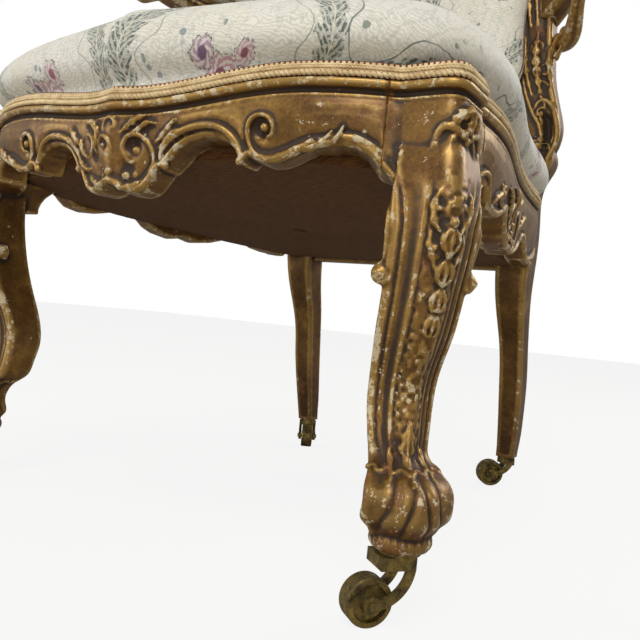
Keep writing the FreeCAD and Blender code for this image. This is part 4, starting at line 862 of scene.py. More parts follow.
def front_relief(x, z):
    change = pit(np.abs(x), z, 148.5, 374, 8.0, 5.5)
    for hollow in ((25, 359, 7, 4.5), (-6, 361, 4.5, 3), (-22, 352, 6, 2.5), (20, 341, 8, 2)):
        change = change + pit(x, z, *hollow)
    swell = 1.6 * MM * np.exp(-((x / MM) / 34) ** 2) * np.exp(-((z / MM - 350) / 26) ** 2)
    return change + swell


def front_carving(piece, side):
    """The band, the open volute and the leaves on one side of the front rail."""
    place_of = sided(front_place, side)
    band = dict(width=6.4, height=7.0, lift=0.5, taper=0.75)
    scroll(piece, place_of, [(52, 345), (52, 355), (60, 364.5), (71, 371.5), (84, 375.5), (97, 376.8),
                             (108, 375), (118, 370), (125, 362.5), (128, 354.5)], **band)
    scroll(piece, place_of, [(203, 361.5), (208, 366), (215, 368.5), (225, 367.5), (235, 363.5),
                             (242.6, 358)], **band)
    scroll(piece, place_of, [(172, 352), (160, 348.8), (150, 350.5), (141.5, 356), (137, 365), (137, 375.5),
                             (141.5, 382), (149, 383.8), (155.5, 380.5), (158.5, 374), (156.5, 368),
                             (151.5, 367.5)],
           width=4.6, height=7.5, lift=0.8, taper=0.6)
    beads(piece, place_of, [(150.5, 374.5)], 7.6, -1.0)
    beads(piece, place_of, [(55.5, 344), (129, 348)], 7.0, 0.5)
    for path, *form in (
            ([(146, 349.5), (158, 349.5), (172, 353.5), (184, 360), (192, 366)], 9, 4.5, 0.5, 3, 0.25, 1.3),
            ([(178, 356), (190, 359.5), (200, 364), (207, 373)], 8, 4.5, 0.3, 3, 0.3, 1.2),
            ([(194, 360), (204, 363), (211, 369), (215, 377)], 6.5, 4.0, 0.3, 2, 0.3, 1.0),
            ([(46, 362), (53, 368), (60, 375), (66, 383)], 8, 3.6, 0.2, 3, 0.4),
            ([(48, 358), (56, 363), (63, 370), (70, 374)], 6, 3.4, 0.2, 2, 0.4)):
        leaf(piece, place_of, path, *form)


def cartouche_carving(piece):
    """The rocaille in the middle, which isn't the same on both sides."""
    bar = dict(width=5.0, height=8.0, lift=0.8, taper=0.5)
    scroll(piece, front_place, [(38, 337), (44.5, 346), (43.5, 356), (38, 364.5), (29.5, 369), (20.5, 368),
                                (15.5, 361), (16, 352), (22, 346.5), (29, 349), (31, 355), (27.5, 359)],
           **bar)
    scroll(piece, front_place, [(3, 344), (4, 354), (1, 364), (-6, 368.5), (-13, 365), (-14, 358),
                                (-8.5, 355)],
           width=4.2, height=7.5, lift=0.8, taper=0.5)
    scroll(piece, front_place, [(-18, 340), (-27, 345), (-30, 354), (-26, 362), (-30, 371), (-39, 374)],
           width=4.6, height=7.0, lift=0.6, taper=0.4)
    scroll(piece, front_place, [(-8, 371), (-9, 379), (-3.5, 385), (3.5, 382.5), (5, 376.5), (0.5, 374)],
           width=3.8, height=6.0, lift=0.4, taper=0.5)
    for path, width, lobes in (
            ([(12, 371), (19, 376), (27, 383), (37, 387)], 9, 4),
            ([(22, 371), (31, 374), (38, 379), (46, 379)], 7, 3),
            ([(-14, 370), (-21, 377), (-30, 383), (-41, 384)], 9, 4),
            ([(-30, 350), (-38, 354), (-44, 361), (-46, 370)], 8, 4),
            ([(-26, 342), (-36, 342), (-45, 347), (-51, 355)], 8, 4),
            ([(-34, 337), (-25, 331), (-14, 327), (-3, 330)], 8, 4),
            ([(36, 332), (28, 327), (17, 324), (6, 328)], 8, 4),
            ([(-19, 352), (-20, 360), (-17, 367), (-19, 375)], 6, 2)):
        leaf(piece, front_place, path, width, 4.5, 0.5, lobes, 0.4)
    for x, z, size in ((27.5, 356.5, 7), (-8.5, 360.5, 4.5), (-12, 344, 6), (0.5, 337.5, 8.5), (9, 342, 4.6),
                       (18, 334.5, 7), (27, 336, 4.4), (-9, 334.5, 4.6)):
        beads(piece, front_place, [(x, z)], size, 1.0)


front_block = Solid()
FRONT_LINE = [(x * MM, z * MM) for x, z in both_halves(FRONT_EDGE)]
front_block.add(*rail_blank(-JOINT_S, JOINT_S, FRONT_LINE, front_relief))
for side in (1, -1):
    front_carving(front_block, side)
cartouche_carving(front_block)
front_rail = carved(front_block, "carved_front_rail", 1.15 * MM)
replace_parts(front_rail, "front_rail")

# %% [markdown]
# A front leg carries the rails round the corner of the seat and then runs down in an S curve to a scroll foot
# on a round ring. The CAD leg is measured by rays at each height. Round it run an edge moulding, a groove,
# a smooth hollow band and a rough middle panel, all worked out from the angle round the leg, so each can be
# a little push in or out. The scroll foot has slanting lobes, deeper near its ring.

# %% Front legs
leg_skin = Skin("front_leg_right")
LEG_PATH_Z = np.linspace(0.070, 0.350, 57)


def leg_middles():
    """Middle of the leg at each height, found between its four sides."""
    centre = np.array((0.275, -0.262))
    found = []
    for z in LEG_PATH_Z:
        for _ in range(3):
            for axis in (0, 1):
                ends = []
                for sign in (1, -1):
                    way = np.zeros(3)
                    way[axis] = -sign
                    start = np.array((*centre, z)) - way * 0.09
                    hit = leg_skin.meet(start, way)
                    ends.append(hit[axis] if hit is not None else centre[axis])
                centre[axis] = sum(ends) / 2
        found.append(centre.copy())
    found = np.array(found)
    for axis in (0, 1):
        found[:, axis] = np.convolve(np.pad(found[:, axis], 2, "edge"), np.ones(5) / 5, "valid")
    return found


LEG_MIDDLES = leg_middles()


def leg_middle(z):
    return np.stack([np.interp(z, LEG_PATH_Z, LEG_MIDDLES[:, axis]) for axis in (0, 1)], axis=-1)


def leg_place(angle, z, lift=0.0):
    """Places on the right leg: angle in degrees from its outer corner, towards the front if negative."""
    angle, z, lift = alike(angle, z, lift)
    turn = np.radians(angle - 45)
    way = np.stack([np.cos(turn), np.sin(turn), np.zeros(turn.shape)], axis=-1)
    middle = leg_middle(z)
    points = []
    for (x, y), level, out, above in zip(middle, z, way, lift):
        start = Vector((x, y, level)) + Vector(out) * 0.09
        hit = leg_skin.meet(start, -Vector(out))
        points.append(np.array(hit if hit is not None else start) + out * above)
    return np.array(points), way


LEG_BANDS = (
    # angle from the outer corner, push out in millimetres
    (0, 0.9), (10, 0.8), (24, 0.2), (31, -0.2), (33.5, -1.6), (36, 0.4), (41, 0.5), (48, -1.0), (56, -1.6),
    (63, -1.2), (68, -0.2), (70.5, 0.0), (72.5, -2.0), (75, -1.8), (77.5, 1.2), (83, 1.8), (90, 1.0),
    (96, 0.2), (110, 0), (180, 0),
)


ROUGH_HALF = 31


def gadroons(angle, z):
    """Slanting lobes round the scroll foot, with a deep hollow over the one at its inner side."""
    high = np.clip((z - 0.071) / 0.006, 0, 1) * np.clip((0.120 - z) / 0.007, 0, 1)
    slant = np.sign(angle) * (z - 0.095) / MM * 0.8
    wave = np.abs(np.cos(np.radians((angle + 16 * np.sin(np.radians(angle * 2)) + slant) * 4)))
    hollow = np.exp(-((angle + 66) / 11) ** 2 - ((z - 0.112) / 0.0045) ** 2)
    slim = 6.8 * np.exp(-((z - 0.095) / 0.015) ** 2) + 4.6 * np.exp(-((z - 0.074) / 0.006) ** 2)
    return high * (5.0 * wave ** 0.5 - 3.1) * MM - (4.0 * hollow + slim) * MM


def leg_shaft():
    """The leg below its head, as rings of points measured from the CAD leg."""
    z = np.concatenate([np.arange(0.0695, 0.128, 1.0 * MM), np.arange(0.129, 0.388, 1.3 * MM)])
    angles = np.linspace(-180, 180, 168, endpoint=False)
    grid_angle, grid_z = np.meshgrid(angles, z)
    points, out = leg_place(grid_angle.ravel(), grid_z.ravel())
    push = np.interp(np.abs(grid_angle.ravel()), *zip(*LEG_BANDS)) * MM
    flat_z = grid_z.ravel()
    fade = np.clip((flat_z - 0.113) / 0.006, 0, 1) * np.clip((0.345 - flat_z) / 0.02, 0.0, 1)
    rough = np.abs(grid_angle.ravel()) < ROUGH_HALF
    chance = np.random.default_rng(4)
    coarse = chance.normal(size=(len(z) // 3 + 2, len(angles) // 3 + 2))
    rows = np.minimum(np.arange(len(z)) // 3, coarse.shape[0] - 1)
    columns = np.minimum(np.arange(len(angles)) // 3, coarse.shape[1] - 1)
    pecked = coarse[np.ix_(rows, columns)].ravel() * 0.55 * MM * rough
    push = (push + pecked) * fade + gadroons(grid_angle.ravel(), flat_z)
    sunk = np.clip((flat_z - 0.340) / 0.046, 0, 1) ** 1.4 * 9.0 * MM
    points = points + out * (push - sunk)[:, None]
    ends = [(*leg_middle(z[0]), z[0] - 0.004), (*leg_middle(z[-1]), z[-1])]
    return closed_rings(points.reshape(len(z), len(angles), 3), ends)


CORNER_PROFILE = ((0, 1.2), (0.06, 0.2), (0.16, -0.6), (0.35, -0.2), (0.6, 0.6), (0.85, 0.2), (1.0, -0.4))
LAP = 0.5 * MM
LEG_EDGE = [
    # share of the way round the corner from the front joint to the side joint, and height in millimetres
    (-0.01, 347.5), (0.05, 341), (0.11, 333), (0.15, 327), (0.2, 321), (0.8, 321), (0.85, 327), (0.89, 333),
    (0.95, 341), (1.01, 347.5),
]


def corner_edge():
    """The lower edge of the leg's head, by distance along the seat's line."""
    span = SIDE_JOINT_S - JOINT_S
    return [(JOINT_S + share * span, z * MM) for share, z in LEG_EDGE]


print("leg measured", LEG_MIDDLES[[0, 20, 56]].round(4).tolist())

# %% [markdown]
# The knee has a leafy bar over hanging husks. Its carving is laid on the leg's head by distance round the
# corner of the seat, so that the rails' bands run on over it. What lies lower is laid by angle and height,
# because the shaft has no flat side, and a ring with a row of beads stands under the foot.

# %% Carving of a leg
def corner_place(s, z, lift=0.0):
    """A place on the leg's head, by distance round the corner from the front joint."""
    return face_place(np.asarray(s, float) + JOINT_S, z, lift)


def shaft_place(angle_mm, z, lift=0.0):
    """A place on the leg's shaft: the angle from the outer corner stands where millimetres do elsewhere."""
    return leg_place(np.asarray(angle_mm, float) / MM, z, lift)


def knee_carving(piece):
    """The bands' ends, the leafy bar and the husks round the corner of the seat."""
    span = (SIDE_JOINT_S - JOINT_S) / MM
    middle = span / 2
    band = dict(width=6.4, height=7.0, lift=0.5, taper=0.8)
    for first, way in ((0, 1), (span, -1)):
        scroll(piece, corner_place,
               shifted([(-0.5, 358), (5, 352), (9.5, 344), (13, 336), (15, 328)], first, way), **band)
        bar = [(-27, 364), (-25, 372), (-19, 377.5), (-11, 376), (-4, 371), (0, 366)]
        scroll(piece, corner_place, shifted(bar, middle, way), width=7.5, height=9.0, lift=1.0, taper=0.6)
        beads(piece, corner_place, shifted(bar[:1], middle, way), 8.5, 1.5)
        upper = [(-16, 377), (-11, 384), (-5, 389), (3, 391)]
        lower = [(-8, 374), (-14, 368), (-15, 360), (-11, 353)]
        leaf(piece, corner_place, shifted(upper, middle, way), 11, 5.5, 0.8, 4, 0.45, 1.2)
        leaf(piece, corner_place, shifted(lower, middle, way), 10, 5.0, 0.8, 4, 0.4, 1.2)
    leaf(piece, corner_place, shifted([(0, 372), (1, 380), (0, 388), (-2, 396)], middle, 1),
         13, 6.0, 0.8, 5, 0.45, 1.3)
    beads(piece, corner_place, shifted([(0, 369), (-5, 373), (5, 373), (0, 377)], middle, 1), 8.0, 3.0)
    for across, low in ((-15, 330), (-8, 322), (0, 318), (8, 322), (15, 330)):
        husk = [(across * 0.35, 366), (across * 0.75, 354), (across, 342), (across * 0.9, low)]
        leaf(piece, corner_place, shifted(husk, middle, 1), 9.5, 6.0, 0.8, 2, 0.15, 1.6)


def shaft_carving(piece):
    """The husks down the middle of the shaft, its side leaves, and the crown over the scroll foot."""
    for level, size in ((0.306, 9.5), (0.283, 8.5), (0.262, 7.5), (0.243, 6.5)):
        beads(piece, shaft_place, [(2, level / MM)], size * 0.8, 1.2)
        for way in (-1, 0, 1):
            drops = ((2, 0.004), (8, 0.010), (9, 0.017), (5, 0.022))
            husk = [(2 + way * turn, (level - drop) / MM) for turn, drop in drops]
            leaf(piece, shaft_place, husk, size * 0.72, size * 0.5, 0.6, 2, 0.2, 1.4)
    for way in (-1, 1):
        inner = shifted([(26, 300), (24, 290), (17, 280), (13, 272)], 0, way)
        outer = shifted([(24, 330), (27, 318), (22, 306), (13, 298)], 0, way)
        leaf(piece, shaft_place, inner, 8, 4.0, 0.4, 3, 0.4, 1.2)
        leaf(piece, shaft_place, outer, 9, 4.5, 0.5, 3, 0.4, 1.2)
        beads(piece, shaft_place, shifted([(20, 315), (16, 287)], 0, way), 5.0, 0.8)
    leaf(piece, shaft_place, [(-6, 112), (-5, 124), (-2, 137), (1, 154)], 15, 5.0, 0.6, 4, 0.3, 1.0)
    for way in (-1, 1):
        crown = shifted([(42, 114), (45, 121), (43, 128), (38, 134)], 0, way)
        leaf(piece, shaft_place, crown, 9, 3.6, 0.5, 2, 0.3, 1.0)
    edge = [(angle, 118 + 1.3 * math.sin(angle * 0.21)) for angle in range(-176, 177, 8)]
    scroll(piece, shaft_place, edge, width=4.2, height=3.6, lift=0.0, taper=0.9)


RING_MIDDLE = (0.275, -0.26235)


def turned_form(radius, z, sides, fluting=0.0):
    """A turned form round the upright line under the leg, with two dozen flutes where there are any."""
    turn = np.linspace(0, 2 * np.pi, sides, endpoint=False)
    radius = radius[:, None] + fluting * np.abs(np.cos(turn * 12))
    x, y = RING_MIDDLE
    rings = np.stack([x + radius * np.cos(turn), y + radius * np.sin(turn), z[:, None] + 0 * turn], axis=-1)
    return closed_rings(rings, [(x, y, z[0]), (x, y, z[-1])])


def ring_under_foot(piece):
    """The round ring with its row of beads, between the scroll foot and the caster."""
    rows = np.linspace(0, np.pi, 14)
    swell = np.sin(rows)
    piece.add(*turned_form(0.0170 + 0.0068 * swell, 0.0655 + 0.0083 * np.cos(rows), 132,
                           1.3 * MM * swell[:, None]))
    neck = np.array(((0.0185, 0.060), (0.0188, 0.066), (0.0190, 0.069), (0.0200, 0.0715), (0.0225, 0.076)))
    piece.add(*turned_form(neck[:, 0], neck[:, 1], 40))


def edge_scrolls(piece):
    """The small scrolls where the rails' bands end on the leg, and the bands down to them."""
    for way in (-1, 1):
        scroll(piece, shaft_place, shifted([(97, 336), (93, 318), (90, 300), (91, 284), (95, 275)], 0, way),
               width=6.5, height=7.5, lift=0.5, taper=0.7)
    for centre, way in (((0.2478, -0.2892), (0, 1, 0)), ((0.3022, -0.2348), (-1, 0, 0))):
        way = np.array(way, float)
        line = np.array((*centre, 0.267))[None, :] + way[None, :] * np.linspace(-0.002, 0.019, 10)[:, None]
        radius = 0.0086 * np.array((0.55, 0.85, 1, 1, 1, 1, 1, 1, 1, 1))
        piece.add(*roll_of(line, radius, radius, (0, 0, 1), 22))
        piece.add(*ball(line[0] + way * 0.0012, 0.0042))


leg_block = Solid()
leg_block.add(*leg_shaft())
leg_block.add(*rail_blank(JOINT_S - LAP, SIDE_JOINT_S + LAP, corner_edge(), seen="along",
                          face=CORNER_PROFILE))
knee_carving(leg_block)
shaft_carving(leg_block)
edge_scrolls(leg_block)
ring_under_foot(leg_block)
for side, block in (("right", leg_block), ("left", leg_block.mirrored())):
    leg = carved(block, f"carved_front_leg_{side}", 1.15 * MM, soften=1)
    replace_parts(leg, f"front_leg_{side}")

# %% [markdown]
# The side rails take their place from the same seat line, seen from the side. Their carved middle, arches and
# lobes are simpler than the front's, as on most chairs of this kind, since they are seen less.

# %% Side rails
SIDE_EDGE = [
    # along the chair and up, in millimetres
    (-211, 347.5), (-205, 353), (-196, 357), (-187, 354), (-178, 346), (-168, 339), (-150, 336), (-128, 338),
    (-108, 343), (-92, 349), (-78, 351), (-66, 344), (-52, 332), (-38, 326), (-14, 322), (4, 326), (24, 322),
    (50, 326), (72, 333), (90, 344), (104, 350), (120, 349), (134, 341), (150, 332), (176, 329), (232, 328),
]
SIDE_MIDDLE = 4


def side_place(y, z, lift=0.0):
    """A place on a side rail's face in side view, lifted off it, and the way out."""
    s = np.interp(np.asarray(y, float), LINE[SIDE_PART, 1], LINE_S[SIDE_PART])
    return face_place(s, z, lift, height=0.06)


def side_carving(piece):
    """The bands, the small cartouche and the leaves of a side rail."""
    band = dict(width=6.2, height=7.0, lift=0.5, taper=0.75)
    scroll(piece, side_place, [(-210.5, 357), (-203, 362), (-195, 364.5), (-186, 362), (-178, 354),
                               (-172, 345)], **band)
    scroll(piece, side_place, [(-168, 343), (-152, 340), (-130, 342), (-110, 347.5), (-94, 354), (-80, 357),
                               (-69, 352), (-60, 342)], **band)
    curl = [(6, 332), (20, 328), (34, 333), (42, 346), (40, 360), (31, 369), (19, 370), (11, 362), (12, 350),
            (20, 345), (27, 350)]
    for way in (1, -1):
        scroll(piece, side_place, shifted(curl, SIDE_MIDDLE, way), width=5.6, height=8.0, lift=0.8, taper=0.5)
        beads(piece, side_place, shifted([(21, 356)], SIDE_MIDDLE, way), 7.5, -0.5)
        over = shifted([(8, 370), (15, 378), (24, 384), (36, 387)], SIDE_MIDDLE, way)
        outer = shifted([(42, 352), (54, 360), (66, 370), (84, 376)], SIDE_MIDDLE, way)
        upright = shifted([(0, 366), (2, 375), (6, 384), (5, 392)], SIDE_MIDDLE, way)
        leaf(piece, side_place, over, 9, 4.5, 0.4, 4, 0.4)
        leaf(piece, side_place, outer, 11, 4.5, 0.3, 5, 0.4)
        row = [(7, 338), (15, 335), (24, 334.5), (33, 338)]
        beads(piece, side_place, shifted(row, SIDE_MIDDLE, way), 6.2, 1.2)
        leaf(piece, side_place, upright, 8, 4.5, 0.6, 3, 0.35)
    beads(piece, side_place, [(SIDE_MIDDLE, 343), (SIDE_MIDDLE, 352)], 7.5, 1.2)
    scroll(piece, side_place, [(78, 336), (90, 350), (103, 356.5), (118, 356), (132, 349), (146, 340),
                               (158, 336)], **band)
    volute(piece, side_place, (-124, 362), 9.0, 250, 1.1, 4.2, 7.0, -1, 0.6, [(-108, 350), (-116, 350)])
    leaf(piece, side_place, [(160, 334), (180, 337), (200, 345), (222, 362)], 12, 4.5, 0.3, 5, 0.35)
    leaf(piece, side_place, [(-160, 343), (-150, 352), (-138, 358), (-134, 368)], 9, 4.5, 0.3, 3, 0.35)


def side_relief(y, z):
    return pit(y, z, -16, 356, 8, 4) + pit(y, z, 24, 356, 8, 4) + pit(y, z, -124, 362, 7, 4)


side_block = Solid()
SIDE_LINE = [(y * MM, z * MM) for y, z in SIDE_EDGE]
side_block.add(*rail_blank(SIDE_JOINT_S, REAR_S, SIDE_LINE, side_relief, seen="side"))
side_carving(side_block)
for side, block in (("right", side_block), ("left", side_block.mirrored())):
    rail = carved(block, f"carved_side_rail_{side}", 1.2 * MM)
    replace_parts(rail, f"side_rail_{side}")

# %% [markdown]
# The rear posts, the crest, the rail under the back and the arms keep the CAD blanks as their wood, and their
# skin is remeshed. On the posts, the crest and the rail under the back a moulding is worked along the edges:
# a raised roll, a groove and a shallow hollow, by the distance of each point of the front face from the
# nearest edge of that face. Scrolls and leaves are joined on first, in front view of the raked back.

# %% Raked back
RAKE = math.radians(8.5)
RAKE_POINT = np.array((0.26465, 0.5))
BACK_THICKNESS = 0.034
BACK_OUT = np.array((0, -math.cos(RAKE), math.sin(RAKE)))
BACK_UP = np.array((0, math.sin(RAKE), math.cos(RAKE)))


def back_place(x, w, lift=0.0, rear=False):
    """A place on the raked back: across, up along the rake, lifted off its front or rear face."""
    x, w, lift = alike(x, w, lift)
    way = -BACK_OUT if rear else BACK_OUT
    points = np.array((0, *RAKE_POINT)) + np.stack([x, 0 * x, 0 * x], -1) + (w - 0.5)[..., None] * BACK_UP
    points = points + (BACK_THICKNESS / 2 + lift)[..., None] * way
    return points, np.broadcast_to(way, points.shape)


def back_view(points):
    """Across and up along the rake, for points."""
    local = points - np.array((0, *RAKE_POINT))
    return points[:, 0], 0.5 + local @ BACK_UP, local @ BACK_OUT


def loose_copy(name):
    """Points and faces of a CAD part, with its doubles merged."""
    import bmesh
    mesh = bmesh.new()
    mesh.from_mesh(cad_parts[name].data)
    bmesh.ops.remove_doubles(mesh, verts=mesh.verts, dist=0.00001)
    bmesh.ops.triangulate(mesh, faces=mesh.faces)
    mesh.verts.ensure_lookup_table()
    points = np.array([vertex.co for vertex in mesh.verts])
    faces = np.array([[vertex.index for vertex in face.verts] for face in mesh.faces])
    mesh.free()
    return points, faces


EDGE_ROLL = ((0, 0.0), (1.5, 1.1), (3.5, 2.0), (5.5, 1.2), (7.2, -0.6), (8.6, -1.6), (10.5, -1.7), (14, -2.2),
             (20, -2.6), (40, -2.6))


FACING = 0.55


def work_edges(thing, out, roll=EDGE_ROLL, keep=None):
    """Pushes the points of a piece's front face in or out by their distance from the face's edge."""
    mesh = thing.data
    points, normals, edges = mesh_tables(mesh)
    facing = normals @ out
    blurred = near_mean(near_mean(facing[:, None], edges, len(points)), edges, len(points))[:, 0]
    front = blurred > FACING
    side = np.flatnonzero(np.abs(blurred) < FACING)
    tree = KDTree(len(side))
    for index in side:
        tree.insert(points[index], int(index))
    tree.balance()
    chosen = np.flatnonzero(front if keep is None else front & keep(points))
    distance = np.array([tree.find(points[index])[2] for index in chosen]) / MM
    push = np.interp(distance, *zip(*roll)) * MM
    points[chosen] += out * push[:, None]
    mesh.vertices.foreach_set("co", points.ravel())
    mesh.update()


print("back raked by", round(math.degrees(RAKE), 1), "degrees")

# %% [markdown]
# Each rear post runs from the foot to the crest in one piece. Below the seat it is plain and rubbed. Above
# it, a moulding follows both edges, a long C scroll hollows the hip, and a curled ear stands off its outer
# edge, as the picture shows on the right post. The left post mirrors the right.

# %% Rear posts
def post_carving(piece):
    """The long scrolls, the leaves and the curled ear of the right post."""
    bar = dict(lift=0.5, taper=0.5)
    scroll(piece, back_place, [(212, 470), (221, 488), (228, 506), (229, 526), (224, 548), (216, 566),
                               (205, 578), (194, 574), (190, 562)], width=9, height=9, **bar)
    scroll(piece, back_place, [(207, 476), (208, 500), (206, 520), (200, 540), (190, 556), (182, 572),
                               (172, 596), (164, 622)], width=6, height=7, **bar)
    scroll(piece, back_place, [(218, 540), (222, 520), (217, 500)], width=3, height=4, **bar)
    for path, *form in (
            ([(213, 596), (206, 620), (203, 648), (210, 672), (221, 690)], 14, 6, 0.2, 5, 0.4, 1.2),
            ([(196, 590), (188, 618), (182, 650), (180, 690)], 17, 6, 0.2, 6, 0.4, 0.6),
            ([(184, 586), (173, 616), (166, 650), (162, 684)], 10, 5, 0.2, 5, 0.35, 0.3)):
        leaf(piece, back_place, path, *form)
    volute(piece, back_place, (220, 682), 13, -70, 1.15, 7, 10, 1, 0.5, [(212, 640), (218, 660)])
    volute(piece, back_place, (201, 558), 9, 60, 0.8, 4.5, 6, 1, 0.0, [(196, 586), (203, 575)])
    for x, w in ((207, 610), (209, 624), (206, 600)):
        scroll(piece, back_place, [(x, w), (x - 8, w + 8), (x - 18, w + 9)], width=3.6, height=4, **bar)
    leaf(piece, back_place, [(166, 700), (158, 740), (152, 776), (147, 812)], 13, 5, 0.2, 7, 0.35, 0.4)
    scroll(piece, back_place, [(177, 700), (170, 740), (160, 785), (154, 830), (153, 868)],
           width=5, height=5, **bar)
    volute(piece, back_place, (160, 886), 8, 200, 1.0, 4.5, 6, -1, 0.3, [(155, 850), (152, 872)])


def hip_hollow(points):
    """How much of the hip's hollow each point of the post's front face takes, from none to all."""
    x, w, _ = back_view(points)
    middle = np.interp(w, [0.492, 0.52, 0.548, 0.562], [0.212, 0.216, 0.211, 0.203])
    across = np.clip(1 - np.abs(x - middle) / 0.0075, 0, 1)
    along = np.clip(np.minimum(w - 0.492, 0.564 - w) / 0.012, 0, 1)
    return across ** 0.7 * along


rear_block = Solid()
rear_block.add(*loose_copy("rear_post_right"))
post_carving(rear_block)
post = join_carving(rear_block, "carved_post", 1.35 * MM)
POST_ROLL = ((0, -0.6), (2, 0.6), (4.5, 1.5), (7, 0.6), (9, -1.0), (11, -1.6), (16, -1.2), (24, -0.6),
             (40, -0.6))
PLAIN_BELOW = 0.44
work_edges(post, BACK_OUT, POST_ROLL, keep=lambda points: back_view(points)[1] > PLAIN_BELOW)
post_points, post_normals, _ = mesh_tables(post.data)
facing = np.clip(post_normals @ BACK_OUT, 0, 1)
post_points -= BACK_OUT * (hip_hollow(post_points) * facing * 9 * MM)[:, None]
post.data.vertices.foreach_set("co", post_points.ravel())
post.data.update()
for side, flip in (("right", 1), ("left", -1)):
    thing = post if flip > 0 else placed("carved_post_left", post.data.copy())
    if flip < 0:
        thing.data.transform(Matrix.Scale(-1, 4, Vector((1, 0, 0))))
        thing.data.flip_normals()
    age(thing)
    finished(thing, PLAIN_GILT)
    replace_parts(thing, f"rear_post_{side}")
print("posts ready", len(post.data.polygons))

# %% [markdown]
# The crest carries a shell between leafy scrolls on its front, and its moulding runs on along the posts. The
# rail under the back carries a smaller scroll. The picture cuts the back off, so both follow the front
# rail's language: C scrolls, leaves and beads.

# %% Crest and lower back rail
def crest_carving(piece):
    """The shell in the middle of the crest, between leafy scrolls."""
    for side in (1, -1):
        at = sided(back_place, side)
        scroll(piece, at, [(12, 955), (20, 972), (32, 986), (44, 986), (50, 974), (44, 962), (34, 964),
                           (32, 972)],
               width=6.5, height=9, lift=0.8, taper=0.5)
        leaf(piece, at, [(8, 992), (20, 1006), (36, 1014), (54, 1012)], 15, 6, 0.5, 5, 0.4)
        scroll(piece, at, [(48, 1000), (74, 1004), (104, 998), (134, 984), (158, 966), (176, 944)],
               width=6, height=6, lift=0.3, taper=0.6)
        scroll(piece, at, [(52, 966), (74, 974), (98, 974), (122, 964), (142, 948)],
               width=5, height=5, lift=0.3)
        leaf(piece, at, [(60, 988), (84, 991), (108, 986), (128, 974)], 10, 5, 0.2, 6, 0.4, 0.3)
        volute(piece, at, (186, 938), 11, 120, 1.1, 5.5, 8, -1, 0.4, [(164, 964), (176, 952)])
        leaf(piece, at, [(196, 926), (204, 938), (214, 944), (226, 944)], 10, 5, 0.2, 4, 0.4)
        for turn in np.radians((18, 42, 66)):
            rib = [(reach * math.sin(turn), 975 + reach * math.cos(turn) * 1.35) for reach in (8, 17, 25)]
            scroll(piece, at, rib, width=5, height=6, lift=1.2, taper=0.45)
    scroll(piece, back_place, [(0, 982), (0, 996), (0, 1010)], width=6, height=7, lift=1.5, taper=0.45)
    beads(piece, back_place, [(0, 972), (0, 960), (-10, 958), (10, 958)], 9, 1.5)


def lower_carving(piece):
    """The small scrolls and beads of the rail under the back."""
    for side in (1, -1):
        at = sided(back_place, side)
        scroll(piece, at, [(6, 536), (24, 548), (46, 550), (66, 542), (84, 540), (104, 550), (124, 566)],
               width=5.5, height=6, lift=0.3, taper=0.6)
        leaf(piece, at, [(22, 536), (40, 534), (58, 530), (76, 532)], 9, 5, 0.2, 5, 0.4)
    beads(piece, back_place, [(0, 542), (0, 552)], 9, 1.0)


for name, ornament in (("crest_rail", crest_carving), ("lower_back_rail", lower_carving)):
    block = Solid()
    block.add(*loose_copy(name))
    ornament(block)
    rail = join_carving(block, f"carved_{name}", 1.35 * MM)
    work_edges(rail, BACK_OUT)
    age(rail)
    finished(rail, GILT)
    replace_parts(rail, name)
    print(name, len(rail.data.polygons))

# %% [markdown]
# The rear rail is plain, as it stands against a wall. The arms sweep out from the posts and roll over at the
# front into a scroll. An arm is bent in every view, so its middle line is found first, level by level along
# the chair, and rays from there reach its skin.

# %% Rear rail and the arm's measures
rear_rail = Solid().add(*loose_copy("rear_rail"))
rail = carved(rear_rail, "gilt_rear_rail", 1.6 * MM, PLAIN_GILT)
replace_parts(rail, "rear_rail")


def arm_line():
    """The middle of the right arm's blank from post to hand, as places along its own length."""
    points, _ = loose_copy("arm_right")
    y = np.linspace(points[:, 1].max() - 0.004, points[:, 1].min() + 0.03, 30)
    rows = [points[np.abs(points[:, 1] - level) < 0.006] for level in y]
    return np.array([(row.min(0) + row.max(0)) / 2 for row in rows if len(row)])


ARM_LINE = arm_line()
ARM_SKIN = Skin("arm_right")


def arm_place(y, turn, lift=0.0):
    """A place on the arm's skin: along the chair, and round the arm from its outer side upwards."""
    y, turn, lift = alike(y, turn, lift)
    angle = np.radians(turn * 1000)
    order = np.argsort(ARM_LINE[:, 1])
    heart = np.stack([np.interp(y, ARM_LINE[order, 1], ARM_LINE[order, axis]) for axis in (0, 1, 2)], axis=-1)
    out = np.stack([np.cos(angle), 0 * angle, np.sin(angle)], axis=-1)
    hits = [ARM_SKIN.meet(start + way * 0.05, -way, 0.06) for start, way in zip(heart, out)]
    points = np.array([hit if hit is not None else start for hit, start in zip(hits, heart)])
    return points + out * lift[..., None], out


print("arm line", ARM_LINE[[0, 10, 20, -1]].round(3).tolist())

# %% [markdown]
# The hand of an arm is wound as a volute on both of its sides, and leaves grow along the arm. A short C
# scroll carries each arm from below; it keeps its plain form, as the picture doesn't show it.

# %% Arms
def hand_place(x, z, lift=0.0, outer=True):
    """A place on a flat side of the arm's hand: forward and up in millimetres from the scroll's middle."""
    x, z, lift = alike(x, z, lift)
    side = 1 if outer else -1
    points = np.stack([HAND_SIDE + side * (HAND_HALF + lift), HAND_CENTRE[0] - x, HAND_CENTRE[1] + z],
                      axis=-1)
    return points, np.broadcast_to(np.array((side, 0.0, 0.0)), points.shape)


